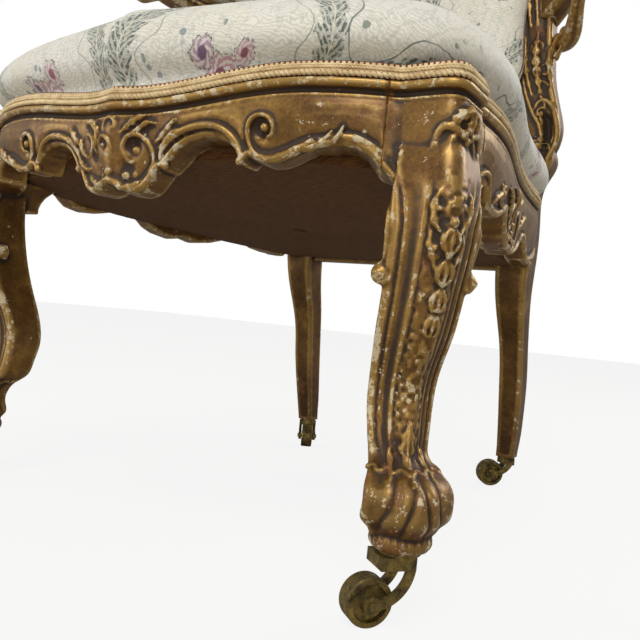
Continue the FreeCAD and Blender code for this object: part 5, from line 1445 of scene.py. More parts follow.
def hand_facts():
    """Half the width, the middle and the radius of the scroll at the end of the right arm."""
    points, _ = loose_copy("arm_right")
    front = points[points[:, 1] < points[:, 1].min() + 0.012]
    low, high = front.min(0), front.max(0)
    radius = (points[points[:, 1] < points[:, 1].min() + 0.03][:, 2].max() - points[:, 2].min()) / 2
    middle = (points[:, 1].min() + radius, points[:, 2].min() + radius)
    return (low[0] + high[0]) / 2, (high[0] - low[0]) / 2, middle, radius


HAND_SIDE, HAND_HALF, HAND_CENTRE, HAND_RADIUS = hand_facts()


def arm_carving(piece):
    """The volutes on both sides of the hand and the leaves along the arm."""
    for outer in (True, False):
        def at(x, z, lift=0.0, outer=outer):
            return hand_place(x, z, lift, outer)

        volute(piece, at, (0, 0), HAND_RADIUS / MM - 3, 80, 1.6, 5.0, 6, -1, -0.5)
    for turn in (0, 180):
        leaf(piece, arm_place,
             [(-10, turn + 4), (30, turn + 8), (80, turn + 2), (130, turn + 10)], 9, 4, 0.3, 7, 0.4, 0.4)


arm_block = Solid()
arm_block.add(*loose_copy("arm_right"))
arm_carving(arm_block)
for side, block in (("right", arm_block), ("left", arm_block.mirrored())):
    thing = carved(block, f"carved_arm_{side}", 1.35 * MM)
    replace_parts(thing, f"arm_{side}")

bracket_block = Solid()
bracket_block.add(*loose_copy("arm_bracket_right"))
for side, block in (("right", bracket_block), ("left", bracket_block.mirrored())):
    thing = carved(block, f"carved_bracket_{side}", 1.35 * MM)
    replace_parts(thing, f"arm_bracket_{side}")

# %% [markdown]
# A woven pattern lies in the cloth, not in the air round it. Cloth therefore draws in the flat cloth's own
# coordinates, so a pattern follows the cushion over its edge as the real cloth does. Weaving repeats, and a
# few sums are enough for that: a wave, a fold at the nearest repeat, and the place inside a repeat.

# %% Woven finishes
class Cloth(Finish):
    """A woven finish whose pattern is drawn on the flat cloth, in metres."""

    def __init__(self, name, colour, roughness, laid_out=True):
        super().__init__(name, colour, roughness)
        self.flat = self.cloth_place() if laid_out else self.place()
        self.u, self.v, self.w = (self.part(self.flat, index) for index in range(3))

    def wave(self, value, period, shift=0.0):
        """From -1 to 1 over a length."""
        return self.sum_of("SINE", (value + shift) * (2 * math.pi / period))

    def folded(self, value, half):
        """Distance from the nearest multiple of twice a half length."""
        return self.sum_of("PINGPONG", value, half)

    def cell(self, value, length):
        """Place inside a repeat, from minus half its length to plus half."""
        return self.sum_of("FLOORED_MODULO", value + length / 2, length) - length / 2


print("cloth sums:", [name for name in vars(Cloth) if not name.startswith("_")])

# %% [markdown]
# The cover is a cream brocade woven with large leafy bands in dark green that cross the width in an ogee
# lattice, a spray of pink and mauve flowers where the lattice opens, and small blue grey sprigs. The ground
# shimmers, because fine waves are woven in it tone on tone. Noise frays the edges of the flowers, as their
# threads do at this scale.

# %% Brocade
LATTICE_WIDE = 0.262
LATTICE_HIGH = 0.345
MOTIF_U = 0.128
MOTIF_V = -0.345


def flower(cloth, u, v, petals, size, turn=0.0):
    """How far inside a flower each point is, and how far it is from the flower's middle."""
    reach = cloth.sum_of("SQRT", u * u + v * v)
    angle = cloth.sum_of("ARCTAN2", v, u)
    rim_line = size * (0.78 + 0.22 * abs(cloth.sum_of("SINE", angle * (petals / 2) + turn)))
    return rim_line - reach, reach, angle


def brocade():
    """The cover's cloth: ground, lattice of leafy bands, sprigs and flowers, one over the other."""
    cloth = Cloth("brocade", rgb("ded8c8"), 0.7)
    warp = cloth.noise(cloth.flat, 22.0, 3.0, 0.6, "Color")
    shaken = cloth.node("ShaderNodeVectorMath", {"operation": "MULTIPLY_ADD"},
                        {0: warp, 1: (0.012, 0.012, 0), 2: cloth.flat})
    su, sv = cloth.part(shaken, 0), cloth.part(shaken, 1)
    fine = cloth.noise(cloth.flat, 900.0, 2.0)
    small = cloth.noise(cloth.flat, 160.0, 3.0, 0.6)
    grain = cloth.noise(cloth.flat, 330.0, 4.0, 0.7)
    broad = cloth.noise(cloth.flat, 18.0, 3.0)

    ripple = cloth.sum_of("SINE", sv * 1900 + cloth.noise(cloth.flat, 60.0, 3.0) * 34)
    ground = cloth.mix(cloth.step(ripple, -0.3, 0.6), paint("e4dfd1"), paint("cfcdbf"))
    trail_noise = cloth.noise(cloth.scaled(shaken, 1, 0.45, 1), 75.0, 4.0, 0.6)
    trail = cloth.step(0.035 - abs(trail_noise - 0.5), 0.0, 0.022)
    ground = cloth.mix(trail * 0.4, ground, paint("a9ad9d"))
    ground = cloth.mix(cloth.step(broad, 0.45, 0.7) * 0.35, ground, paint("d8cfb6"))

    across = cloth.folded(su - MOTIF_U, LATTICE_WIDE / 2)
    line = LATTICE_WIDE * (0.25 + 0.19 * cloth.wave(sv - MOTIF_V, LATTICE_HIGH, LATTICE_HIGH / 4))
    off = across - line
    side_off = abs(off)
    lobed = 0.0095 + 0.0065 * abs(cloth.wave(sv + off * 0.8, 0.030)) + (small - 0.5) * 0.012
    band_mask = cloth.step(lobed - side_off, -0.0004, 0.0010)
    rib = cloth.step(0.0012 - side_off, 0.0, 0.0006)
    vein = cloth.step(cloth.sum_of("SINE", (sv - side_off * 1.3) * (2 * math.pi / 0.0075)), 0.15, 0.55)
    gaps = cloth.step(cloth.noise(shaken, 210.0, 4.0, 0.7), 0.48, 0.54)
    dark = cloth.mix(cloth.step(small, 0.4, 0.65), paint("39423a"), paint("5d6a60"))
    ink = band_mask * (1 - vein * 0.75) * (1 - gaps * 0.8)
    ground = cloth.mix(band_mask * 0.45, ground, paint("b9bba8"))
    coloured = cloth.mix(ink * 0.92, ground, dark)
    coloured = cloth.mix(rib * band_mask * 0.8, coloured, paint("d9d2ba"))
    tendril = abs(off - 0.024 - 0.008 * cloth.wave(sv, 0.055))
    coloured = cloth.mix(cloth.step(0.0013 - tendril, 0.0, 0.0008) * 0.8, coloured, paint("47524b"))
    inner = abs(off + 0.026 + 0.007 * cloth.wave(sv, 0.047))
    coloured = cloth.mix(cloth.step(0.0011 - inner, 0.0, 0.0008) * 0.7, coloured, paint("6f7a78"))

    cut = cloth.cells(shaken, 62.0)
    sprig_here = cloth.step(cloth.noise(cloth.flat, 34.0, 2.0), 0.52, 0.60)
    sprig = cloth.step(0.24 - cut - (small - 0.5) * 0.35, 0.0, 0.05) * sprig_here * (1 - band_mask)
    sprig_tone = cloth.mix(cloth.step(broad, 0.4, 0.6), paint("7f8a93"), paint("6c7a5c"))
    coloured = cloth.mix(sprig * 0.85, coloured, sprig_tone)

    for du, dv, petals, size, tone, deep in (
            (0.0, 0.0, 8, 0.021, "b98a93", "7d3f55"), (0.024, 0.020, 6, 0.012, "c39aa0", "8a4a5c"),
            (-0.023, 0.017, 6, 0.013, "a98a9c", "6a4a66"), (0.006, -0.030, 5, 0.011, "c7a3a0", "93505a"),
            (-0.018, -0.020, 5, 0.009, "96a0ac", "56606f")):
        for shift in (0.0, 0.5):
            fu = cloth.cell(su - MOTIF_U - du - shift * LATTICE_WIDE, LATTICE_WIDE)
            fv = cloth.cell(sv - MOTIF_V - dv - shift * LATTICE_HIGH, LATTICE_HIGH)
            inside, reach, angle = flower(cloth, fu, fv, petals, size, du * 90)
            inside = inside + (grain - 0.5) * 0.011
            mask = cloth.step(inside, -0.0003, 0.0007)
            petal = cloth.sum_of("SINE", angle * petals + reach * 900 + grain * 9)
            tone_here = cloth.mix(cloth.step(petal, -0.5, 0.5), paint(tone), paint("d6cdc2"))
            tone_here = cloth.mix(cloth.step(size * 0.38 - reach, -0.001, 0.001), tone_here, paint(deep))
            edge_line = cloth.step(0.0011 - abs(inside), 0.0, 0.0006)
            coloured = cloth.mix(mask, coloured, tone_here)
            coloured = cloth.mix(edge_line * cloth.step(grain, 0.42, 0.52) * 0.9, coloured, paint("4c4248"))
    soil = cloth.step(cloth.noise(cloth.flat, 7.0, 4.0), 0.5, 0.8)
    coloured = cloth.mix(soil * 0.22, coloured, paint("a59878"), "MULTIPLY")
    weave = cloth.mix(fine, paint("9a9686"), paint("ffffff"))
    cloth.set("Base Color", cloth.mix(0.12, coloured, weave, "MULTIPLY"))
    cloth.set("Roughness", 0.62 + (1 - ink) * 0.12 - cloth.step(ripple, -0.3, 0.6) * 0.14)
    cloth.set("Sheen Weight", 0.25)
    threads = cloth.wave(cloth.u, 0.00075) * cloth.wave(cloth.v, 0.00075)
    relief = threads * 0.25 + ink * 0.8 + sprig * 0.5 + trail * 0.35 + cloth.step(ripple, -0.3, 0.6) * 0.3
    cloth.set("Normal", cloth.bump(relief, 0.00035, 0.6))
    return cloth.material


BROCADE = brocade()
print("brocade ready,", len(BROCADE.node_tree.nodes), "nodes")

# %% [markdown]
# A padded form is read off the CAD cover by rays that aim at a place inside it, then shared out evenly along
# each line from the crown's middle to the edge. The distance travelled gives the flat cloth's coordinates.
# Buttonless cushions of this age still show soft pulls along the braid, where tacks hold the cloth.

# %% Padded forms
RAY_ROWS = 260


def dome(skin, focus, axes, low, columns, rows):
    """Rings of points on a padded form, from its edge to its middle, and the flat cloth's coordinates."""
    across, up, out = (np.asarray(axis, float) for axis in axes)
    turn = np.linspace(0, 2 * np.pi, columns, endpoint=False)
    grid = np.empty((columns, rows, 3))
    travelled = np.empty((columns, rows))
    for column, angle in enumerate(turn):
        flat_way = math.cos(angle) * across + math.sin(angle) * up
        start = math.radians(low)
        hits = []
        for lift in np.linspace(start, math.pi / 2, RAY_ROWS):
            way = math.cos(lift) * flat_way + math.sin(lift) * out
            hit = skin.meet(focus + way * 0.7, -way, 0.7)
            if hit is not None:
                hits.append(hit)
        line = np.array(hits)
        length = np.concatenate([[0], np.cumsum(np.linalg.norm(np.diff(line, axis=0), axis=1))])
        even = np.linspace(0, length[-1], rows)
        for axis in range(3):
            grid[column, :, axis] = np.interp(even, length, line[:, axis])
        travelled[column] = length[-1] - even
    flat = np.stack([travelled * np.cos(turn)[:, None], travelled * np.sin(turn)[:, None]], axis=-1)
    return grid, flat


def outward(grid):
    """The way out at each point of a padded form."""
    return unit(np.cross(np.roll(grid, -1, 0) - np.roll(grid, 1, 0), np.gradient(grid, axis=1)))


def dome_mesh(name, grid, flat, depth):
    """A closed mesh: the dome outside, and a second skin inside it, with the cloth's coordinates."""
    columns, rows, _ = grid.shape
    inner = grid - outward(grid) * depth
    points = np.vstack([grid[:, :-1].reshape(-1, 3), grid[:1, -1],
                        inner[:, :-1].reshape(-1, 3), inner[:1, -1]])
    span = rows - 1
    skin = woven(columns, span, closed_rows=True)
    top = columns * span
    last = np.arange(columns) * span + span - 1
    cap = np.stack([last, np.roll(last, -1), np.full(columns, top)], axis=-1)
    first = np.arange(columns) * span
    shift = top + 1
    hem = np.stack([first, first + shift, np.roll(first, -1) + shift, np.roll(first, -1)], axis=-1)
    solid = Solid().add(points, skin, cap, hem[:, ::-1], skin[:, ::-1] + shift, cap[:, ::-1] + shift)
    thing = solid.object(name)
    spread = np.vstack([flat[:, :-1].reshape(-1, 2), flat[:1, -1] * 0])
    spread = np.vstack([spread, spread])
    lay_cloth(thing, spread)
    return thing


def lay_cloth(thing, spread):
    """Writes the flat cloth's coordinates of each point as a UV map."""
    mesh = thing.data
    corner = np.empty(len(mesh.loops), np.int32)
    mesh.loops.foreach_get("vertex_index", corner)
    layer = mesh.uv_layers.new(name="cloth")
    layer.uv.foreach_set("vector", spread[corner].astype(np.float32).ravel())


def soft_waves(grid, amount, seed):
    """Slight unevenness of the stuffing, and pulls where tacks hold the edge."""
    columns, rows, _ = grid.shape
    chance = np.random.default_rng(seed)
    turn = np.linspace(0, 2 * np.pi, columns, endpoint=False)[:, None]
    share = np.linspace(0, 1, rows)[None, :]
    change = np.zeros((columns, rows))
    for count in (3, 5, 8, 13):
        phase, tilt = chance.uniform(0, 2 * np.pi, 2)
        change += np.sin(count * turn + phase) * np.sin(np.pi * share * (1 + count / 6) + tilt) / count
    pulls = np.sin(turn * 64) ** 2 * np.exp(-((share - 0.07) / 0.05) ** 2)
    change = change * np.sin(np.pi * share) - pulls * 0.35
    return grid + outward(grid) * (change * amount)[..., None]


print("padded forms can be read")

# %% [markdown]
# A real cover is tacked along its edge and lies on soft hair, so it settles a little between the tacks. A
# short cloth simulation finds that: the form is made into even cells, its low edge is held, the cloth is
# slightly too large, and the filling presses from inside. Only its outward part is kept, and it never moves
# the cover by more than a few millimetres.

# %% Settling of a cover
CELL = 7 * MM
FARTHEST = 2.5 * MM
TACKED = 12 * MM
MOMENTS = 6


def settled_cloth(grid, out):
    """The form after a cloth a little too large, held along its edge, has settled on the filling."""
    columns, rows, _ = grid.shape
    top = columns * (rows - 1)
    edge = grid[:, 0].mean(axis=0)
    first = np.arange(columns) * (rows - 1)
    cloth = Solid().add(np.vstack([grid[:, :-1].reshape(-1, 3), grid[:1, -1], edge[None]]),
                        woven(columns, rows - 1, closed_rows=True), fan(first + rows - 2, top),
                        fan(first, top + 1)[:, ::-1]).object("settling_cloth")
    even = cloth.modifiers.new("even_cells", "REMESH")
    even.mode = "VOXEL"
    even.voxel_size = CELL
    before, normal, _ = mesh_tables(settled(cloth, "settling_cloth").data)
    held = cloth.vertex_groups.new(name="tacked")
    held.add(np.flatnonzero((before - edge) @ np.asarray(out) < TACKED).tolist(), 1.0, "REPLACE")
    pull = cloth.modifiers.new("settle", "CLOTH")
    pull.settings.vertex_group_mass = "tacked"
    pull.settings.quality = 4
    pull.settings.shrink_min = -0.015
    pull.settings.use_pressure = True
    pull.settings.uniform_pressure_force = 4
    pull.settings.effector_weights.gravity = 0
    pull.collision_settings.use_collision = False
    for moment in range(1, MOMENTS + 1):
        bpy.context.scene.frame_set(moment)
    shift = mesh_tables(settled(cloth, "settled_cloth").data)[0] - before
    bpy.context.scene.frame_set(1)
    bpy.data.objects.remove(cloth)
    shift -= normal * np.minimum(np.sum(shift * normal, axis=1, keepdims=True), 0)
    far = np.linalg.norm(shift, axis=1, keepdims=True) + 1e-9
    shift *= FARTHEST * np.tanh(far / FARTHEST) / far
    tree = KDTree(len(before))
    for index, point in enumerate(before):
        tree.insert(point, index)
    tree.balance()
    moved = grid.copy()
    for place in np.ndindex(columns, rows):
        near = tree.find_n(grid[place], 4)
        weight = np.array([1 / (distance + 1e-4) for _, _, distance in near])
        moved[place] += weight @ shift[[index for _, index, _ in near]] / weight.sum()
    print("cloth settled by", (np.percentile(far, [50, 95, 100]) / MM).round(1), "mm")
    return moved


print("a cover settles by", FARTHEST / MM, "mm at the most")

# %% [markdown]
# The covers stand for their filling too, since nothing of it shows. The seat's left half mirrors its right
# half, with the columns of the form counted round from the sitter's left. On the arms, the small pads are
# remeshed from the CAD blanks, and the cloth is laid over them from side to side.

# %% Covers
SEAT_FOCUS = np.array((0.0, -0.04, 0.424))
SEAT_COLUMNS = 480
SEAT_ROWS = 88
SEAT_EDGE = -3.2
CLOTH_DEPTH = 1.3 * MM
PUFF = 0.9 * MM
seat_grid, seat_flat = dome(Skin("seat_cover"), SEAT_FOCUS, ((1, 0, 0), (0, 1, 0), (0, 0, 1)),
                            SEAT_EDGE, SEAT_COLUMNS, SEAT_ROWS)
left = np.arange(SEAT_COLUMNS // 4 + 1, SEAT_COLUMNS * 3 // 4)
mirror = (SEAT_COLUMNS // 2 - left) % SEAT_COLUMNS
seat_grid[left] = seat_grid[mirror] * (-1, 1, 1)
seat_flat[left] = seat_flat[mirror] * (-1, 1)
seat_grid = settled_cloth(soft_waves(seat_grid, PUFF, 3), (0, 0, 1))
seat = dome_mesh("seat_brocade", seat_grid, seat_flat, CLOTH_DEPTH)
finished(seat, BROCADE)
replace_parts(seat, "seat_cover", "seat_stuffing")
print("seat cover", len(seat.data.polygons), "faces, lowest", seat_grid[..., 2].min().round(4))

BACK_MIDDLE = 0.775
BACK_FOCUS, _ = back_place(0, BACK_MIDDLE)
back_grid, back_flat = dome(Skin("back_cover"), BACK_FOCUS, ((1, 0, 0), BACK_UP, BACK_OUT), 1.0, 360, 60)
back_grid = settled_cloth(soft_waves(back_grid, PUFF, 5), BACK_OUT)
back_piece = dome_mesh("back_brocade", back_grid, back_flat, CLOTH_DEPTH)
finished(back_piece, BROCADE)
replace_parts(back_piece, "back_cover", "back_pad")

for side in ("right", "left"):
    pad_points, pad_faces = loose_copy(f"arm_pad_{side}")
    pad = join_carving(Solid().add(pad_points, pad_faces), f"arm_brocade_{side}", 1.8 * MM, 4)
    pad_points, pad_normals, _ = mesh_tables(pad.data)
    top = pad_points[:, 2].max()
    down = top - pad_points[:, 2]
    middle = pad_points[:, 0].mean()
    u = (pad_points[:, 0] - middle) + np.sign(pad_points[:, 0] - middle) * down * np.abs(pad_normals[:, 0])
    lay_cloth(pad, np.column_stack([u + 0.13, pad_points[:, 1]]))
    finished(pad, BROCADE)
    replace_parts(pad, f"arm_pad_{side}")
print("padded pieces ready")

# %% [markdown]
# The braid that hides the tacks is woven from straw coloured cords. Its threads are dull and a little
# furry, with worn places that have gone paler, and a dark red brown strip behind them paints the shade in the
# gaps.

# %% Braid threads
def braid_finish():
    thread = Finish("gimp_braid", rgb("dfc494"), 0.82)
    spot = thread.place()
    tone = thread.ramp(thread.noise(spot, 90.0, 4.0, 0.65), [
        (0.25, rgb("a98654")), (0.42, rgb("cdb07c")), (0.58, rgb("e2c998")), (0.8, rgb("f0dfb8")),
    ])
    worn = thread.step(thread.noise(spot, 16.0, 3.0), 0.52, 0.75)
    thread.set("Base Color", thread.mix(worn * 0.4, tone, paint("bd9a64")))
    thread.set("Roughness", 0.78 + thread.noise(spot, 300.0, 2.0) * 0.15)
    thread.set("Sheen Weight", 0.3)
    fibre = thread.noise(thread.scaled(spot, 1, 1, 2.2), 2200.0, 3.0, 0.7)
    thread.set("Normal", thread.bump(fibre, 0.0004, 0.7))
    return thread.material


def braid_gap_shade_finish():
    # A dark red brown strip behind the cords: painted shade in the gaps between them.
    ground = Finish("gimp_ground", rgb("8c4a2c"), 0.9)
    tone = ground.noise(ground.place(), 240.0, 3.0, 0.7)
    ground.set("Base Color", ground.ramp(tone, [
        (0.35, rgb("3a1a10")), (0.5, rgb("6e3822")), (0.7, rgb("94633c")),
    ]))
    ground.set("Roughness", 0.88 + tone * 0.1)
    ground.set("Normal", ground.bump(tone, 0.0005, 0.6))
    return ground.material


BRAID = braid_finish()
BRAID_GAP_SHADE = braid_gap_shade_finish()
print("threads:", BRAID.name, BRAID_GAP_SHADE.name)

# %% [markdown]
# Two smooth cords run along the braid with a wavy twisted one between them, a fringe of small loops above
# and a chunky twisted rope below. Geometry Nodes repeat each small form along the braid's line, because
# there are thousands of them and they all turn with the line.

# %% Forms along a braid
def small_form(name, points, *faces):
    """A form that is repeated along a braid, kept out of the picture itself."""
    thing = Solid().add(points, *faces).object(name)
    thing.data.polygons.foreach_set("use_smooth", [True] * len(thing.data.polygons))
    thing.hide_render = True
    thing.hide_viewport = True
    return thing


def loop_form():
    """One loop of the fringe: a thread that leaves the braid and comes back, with X along the braid."""
    turn = np.linspace(math.radians(-25), math.radians(205), 8)
    line = np.column_stack([1.75 * np.cos(turn), 0.5 * np.sin(turn), 2.9 * np.sin(turn) + 0.4]) * MM
    return roll_of(line, 0.78 * MM, 0.78 * MM, (0, 1, 0), 5)


def strand_form(length, thick, slant):
    """One strand of a twisted cord: a fat slanted grain, X along the cord and Y away from the cloth."""
    share = np.linspace(-1, 1, 7)
    line = np.column_stack([share * length / 2, 0.55 * thick * (1 - share ** 2), share * slant / 2]) * MM
    half = thick / 2 * np.sqrt(np.maximum(1 - share ** 2, 0.05)) * MM
    return roll_of(line, half, half, (0, 1, 0), 6)


def repeating_group():
    """The nodes that repeat one form along a line at a steady pitch and give it a material."""
    group = bpy.data.node_groups.new("along_the_braid", "GeometryNodeTree")
    for name, kind in (("Line", "Geometry"), ("Form", "Object"), ("Pitch", "Float"), ("Thread", "Material")):
        group.interface.new_socket(name, in_out="INPUT", socket_type="NodeSocket" + kind)
    group.interface.new_socket("Braid", in_out="OUTPUT", socket_type="NodeSocketGeometry")

    def add(kind, values=None, **settings):
        node = group.nodes.new(kind)
        for name, value in settings.items():
            setattr(node, name, value)
        for name, value in (values or {}).items():
            if isinstance(value, bpy.types.NodeSocket):
                group.links.new(value, node.inputs[name])
            else:
                node.inputs[name].default_value = value
        return node.outputs

    given = add("NodeGroupInput")
    curve = add("GeometryNodeMeshToCurve", {"Mesh": given["Line"]})["Curve"]
    spaced = add("GeometryNodeCurveToPoints", {"Curve": curve, "Length": given["Pitch"]}, mode="LENGTH")
    away = add("GeometryNodeInputNamedAttribute", {"Name": "away"}, data_type="FLOAT_VECTOR")["Attribute"]
    along = add("FunctionNodeAlignRotationToVector", {"Vector": spaced["Tangent"]}, axis="X")["Rotation"]
    turned = add("FunctionNodeAlignRotationToVector", {"Rotation": along, "Vector": away},
                 axis="Y", pivot_axis="X")
    form = add("GeometryNodeObjectInfo", {"Object": given["Form"]})["Geometry"]
    rows = add("GeometryNodeInstanceOnPoints",
               {"Points": spaced["Points"], "Instance": form, "Rotation": turned["Rotation"]})["Instances"]
    real = add("GeometryNodeRealizeInstances", {"Geometry": rows})["Geometry"]
    threads = add("GeometryNodeSetMaterial", {"Geometry": real, "Material": given["Thread"]})["Geometry"]
    add("NodeGroupOutput", {"Braid": threads})
    return group


ALONG = repeating_group()
LOOP = small_form("loop_form", *loop_form())
ROPE = small_form("rope_form", *strand_form(5.2, 3.5, 3.4))
TWIST = small_form("twist_form", *strand_form(3.9, 1.9, 1.9))
print("forms:", [(form.name, len(form.data.vertices)) for form in (LOOP, ROPE, TWIST)])

# %% [markdown]
# The seat's braid lies round the top of the rails and dips with the front rail. The back's follows the edge
# of its cushion, and those on the arms follow the lower half of their pads. They are the same braid, laid a
# little narrower where there is less room.

# %% Braids in place
def repeated(name, line, away, form, pitch):
    """A row of small forms along a line of points, as tables of points and faces."""
    mesh = bpy.data.meshes.new(name)
    mesh.from_pydata(line.tolist(), [(index, index + 1) for index in range(len(line) - 1)], [])
    mesh.attributes.new("away", "FLOAT_VECTOR", "POINT").data.foreach_set("vector", away.ravel())
    thing = placed(name, mesh)
    modifier = thing.modifiers.new("along", "NODES")
    modifier.node_group = ALONG
    for item in ALONG.interface.items_tree:
        if item.name in ("Form", "Pitch", "Thread"):
            modifier[item.identifier] = {"Form": form, "Pitch": pitch, "Thread": BRAID}[item.name]
    row = settled(thing, name).data
    points, _, _ = mesh_tables(row)
    tables = [[face.vertices[:] for face in row.polygons if len(face.vertices) == size] for size in (3, 4)]
    bpy.data.objects.remove(thing)
    return points, *[table for table in tables if table]


def braid(name, line, away, up, scale=1.0):
    """A whole braid along the line of its lower edge: where it is, which way is out and which way is up."""
    line, away, up = (np.asarray(table, float) for table in (line, away, up))

    def at(height, lift):
        return line + up * height * MM * scale + away * lift * MM

    gathered = Solid()
    for height, lift, form, pitch in ((2.3, 1.9, ROPE, 4.3), (7.0, 1.9, TWIST, 2.9), (11.1, 1.0, LOOP, 4.6)):
        gathered.add(*repeated(f"{name}_row", at(height, lift), away, form, pitch * MM))
    for height, lift, thick in ((5.2, 1.4, 1.15), (9.2, 1.4, 1.25)):
        gathered.add(*roll_of(at(height, lift), thick * MM, thick * MM, away, 8))
    wave = np.sin(np.arange(len(line)))[:, None]
    gathered.add(*roll_of(at(7.1, 1.2) + up * wave * 0.5 * MM, 1.0 * MM, 0.8 * MM, away, 6))
    thing = gathered.object(name)
    finished(thing, BRAID)
    # The dark strip behind the cords is painted shade in the gaps.
    ground = Solid().add(*roll_of(at(6.4, 0.1), 6.6 * MM * scale, 0.7 * MM, away, 8)).object(name + "_ground")
    finished(ground, BRAID_GAP_SHADE)
    print(name, len(thing.data.polygons), "faces")
    return thing


def seat_braid_line():
    """The line of the seat's braid, which way is out and which way is up."""
    s = np.linspace(-REAR_S - 0.004, REAR_S + 0.004, 1100)
    place, out = on_line(s, np.full(len(s), 1.9 * MM))
    z = RAIL_TOP + 0.5 * MM - np.array([dip_of(x) for x in place[:, 0]])
    return np.column_stack([place, z]), np.column_stack([out, 0 * s]), np.tile((0.0, 0.0, 1.0), (len(s), 1))


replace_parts(braid("seat_braid", *seat_braid_line()), "seat_gimp")


def ring_braid(name, grid, row, middle):
    """A braid round the edge of a padded form, on the outside of one of its rings."""
    ring = grid[:, row]
    line = smooth_line(np.vstack([ring, ring[:1]]), 900)
    up = unit(middle - line)
    away = unit(np.cross(up, np.gradient(line, axis=0)))
    return braid(name, line + away * 0.3 * MM, away, up, scale=0.9)


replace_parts(ring_braid("back_braid", back_grid, 2, BACK_FOCUS), "back_gimp")
PAD_HALF = (0.03, 0.075)


def farthest(points, heart):
    """The one of a few points that lies farthest out, in half sizes of an arm pad."""
    return points[np.argmax(np.hypot(*((points - heart)[:, :2] / PAD_HALF).T))]


for side in ("right", "left"):
    skirt, _ = loose_copy(f"arm_gimp_{side}")
    heart = (skirt.min(0) + skirt.max(0)) / 2
    lower = skirt[skirt[:, 2] < np.percentile(skirt[:, 2], 50)]
    local = (lower - heart)[:, :2] / PAD_HALF
    order = np.argsort(np.arctan2(local[:, 1], local[:, 0]))
    ring = np.array([farthest(group, heart) for group in np.array_split(lower[order], 28)])
    line = smooth_line(np.vstack([ring, ring[:1]]), 420)
    away = unit((line - heart) * (1, 0.16, 0))
    upward = np.tile((0.0, 0.0, 1.0), (len(line), 1))
    gimp = braid(f"arm_braid_{side}", line - away * 1.2 * MM, away, upward, scale=0.55)
    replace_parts(gimp, f"arm_gimp_{side}")

# %% [markdown]
# A brown cloth closes the seat from below and a plain cream one the back from behind. Both are cut flat and
# stretched to the inside of the frame, so they stay nearly flat, with slight pulls at their tacks. The one
# below the seat also has a hem that turns up inside the rails. They are the only sheets on the chair.

# %% Sheets
def plain_weave(name, dark, light, pitch, laid_out=True, stain=0.5):
    """A plain cloth: crossing threads, slubs and old stains."""
    cloth = Cloth(name, rgb(light), 0.88, laid_out)
    down = cloth.v + cloth.w
    threads = cloth.wave(cloth.u, pitch) * cloth.wave(down, pitch)
    slubs = cloth.noise(cloth.scaled(cloth.flat, 1, 6, 6), 90.0, 3.0, 0.7)
    age_tone = cloth.noise(cloth.flat, 9.0, 5.0, 0.6)
    tone = cloth.mix(cloth.step(slubs + threads * 0.12, 0.35, 0.7), paint(dark), paint(light))
    cloth.set("Base Color", cloth.mix(cloth.step(age_tone, 0.42, 0.7) * stain, tone, paint(dark)))
    cloth.set("Roughness", 0.82 + slubs * 0.15)
    cloth.set("Normal", cloth.bump(threads * 0.5 + slubs + age_tone * 3, 0.0012, 0.6))
    return cloth.material


def stretched(name, node, focus, across, up, material, hem=0.0):
    """A sheet stretched over the inside of the frame, from its edge or a hem turned inwards to its middle."""
    skin = Skin(node)
    across, up = np.asarray(across, float), np.asarray(up, float)
    out = np.cross(across, up)
    rows = []
    spread = []
    for angle in np.linspace(0, 2 * np.pi, 220, endpoint=False):
        way = math.cos(angle) * across + math.sin(angle) * up
        found = [(r, skin.meet(focus + way * r + out * 0.2, -out, 0.4)) for r in np.arange(0, 0.5, 0.0025)]
        hits = [(r, hit) for r, hit in found if hit is not None]
        reach = np.array([r for r, _ in hits])
        places = np.array([hit for _, hit in hits])
        even = np.linspace(reach[-1], 0, 40)
        line = np.stack([np.interp(even, reach, places[:, axis]) for axis in range(3)], axis=-1)
        turned = np.linspace(hem, 0, 8, endpoint=False) if hem else np.zeros(0)
        rows.append(np.vstack([line[0] - out * turned[:, None], line]))
        spread.append(np.outer(np.append(even[0] + turned, even), (math.cos(angle), math.sin(angle))))
    grid = soft_waves(np.array(rows), 0.6 * MM, 9)
    flat = np.array(spread)
    thing = dome_mesh(name, grid, flat, 0.9 * MM)
    finished(thing, material)
    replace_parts(thing, node)


DUST_CLOTH = plain_weave("dust_cloth", "4a2a08", "7d5118", 0.0011, stain=0.35)
BACK_CLOTH = plain_weave("back_cloth", "b9ac8e", "d8cfb4", 0.0012, stain=0.3)
stretched("seat_dust_sheet", "dust_cover", np.array((0, -0.04, 0.34)), (1, 0, 0), (0, -1, 0), DUST_CLOTH,
          hem=22 * MM)
stretched("back_sheet", "outside_back_cover", back_place(0, BACK_MIDDLE, rear=True)[0], (-1, 0, 0), BACK_UP,
          BACK_CLOTH)

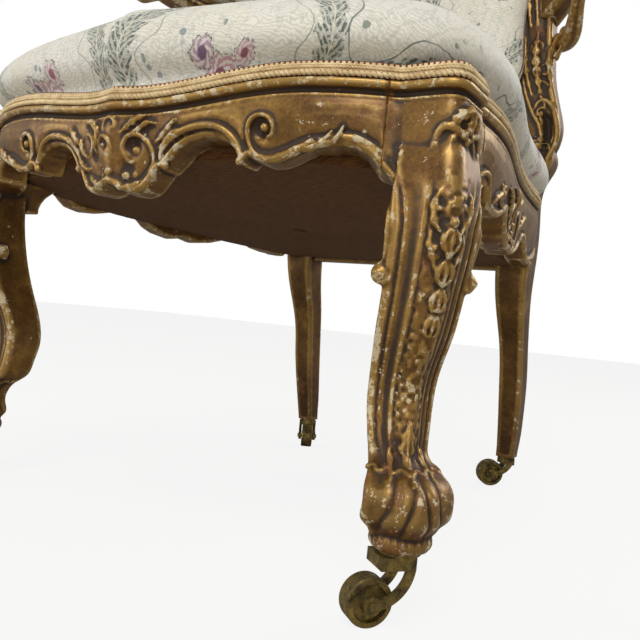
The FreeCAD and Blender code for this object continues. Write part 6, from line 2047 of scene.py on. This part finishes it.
# %% [markdown]
# The springs, webbing and hessian inside get plain finishes, since they show only when a sheet is off. The
# blocks and dowels are bare beech. The casters are old brass: dark, with wear that shows the metal.

# %% Inner pieces and casters
def beech_finish():
    wood = Finish("beech", rgb("b58a55"), 0.7)
    spot = wood.scaled(wood.place(), 1, 1, 6)
    grain = wood.noise(spot, 60.0, 5.0, 0.6)
    wood.set("Base Color", wood.ramp(grain, [
        (0.3, rgb("7d5a34")), (0.55, rgb("b58a55")), (0.75, rgb("cda873")),
    ]))
    wood.set("Normal", wood.bump(grain, 0.0006, 0.4))
    return wood.material


def metal_finish(name, dark, middle, bright):
    """Old metal: dark in patches, bare where it has been rubbed."""
    metal = Finish(name, rgb(middle), 0.45, 0.9)
    spot = metal.place()
    patch = metal.noise(spot, 110.0, 5.0, 0.65)
    grit = metal.noise(spot, 900.0, 3.0, 0.7)
    metal.set("Base Color", metal.ramp(patch * 0.75 + grit * 0.25, [
        (0.36, rgb(dark)), (0.50, rgb(middle)), (0.64, rgb(bright)),
    ]))
    metal.set("Metallic", 0.55 + metal.step(patch, 0.45, 0.6) * 0.4)
    metal.set("Roughness", 0.62 - metal.step(patch, 0.45, 0.65) * 0.26)
    metal.set("Normal", metal.bump(patch + grit * 0.6, 0.0004, 0.6))
    return metal.material


BRASS = metal_finish("old_brass", "2c2412", "6a5a30", "a48d52")
STEEL = metal_finish("drawn_steel", "3b3a38", "75726d", "a8a6a2")
WEBBING = plain_weave("webbing", "6b5534", "9a7d52", 0.002, False)
HESSIAN = plain_weave("hessian", "6e5833", "a98d5c", 0.0025, False)
INNER = {
    BRASS: ["caster", "dust_cover_tacks"], STEEL: ["corner_block_screws", "seat_springs"],
    WEBBING: ["seat_webbing", "back_webbing"], HESSIAN: ["spring_hessian"],
    beech_finish(): ["corner_blocks", "joint_dowels"],
}
for material, names in INNER.items():
    for name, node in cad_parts.items():
        if name.startswith(tuple(names)):
            node.data.materials.clear()
            node.data.materials.append(material)
print("inner pieces ready")
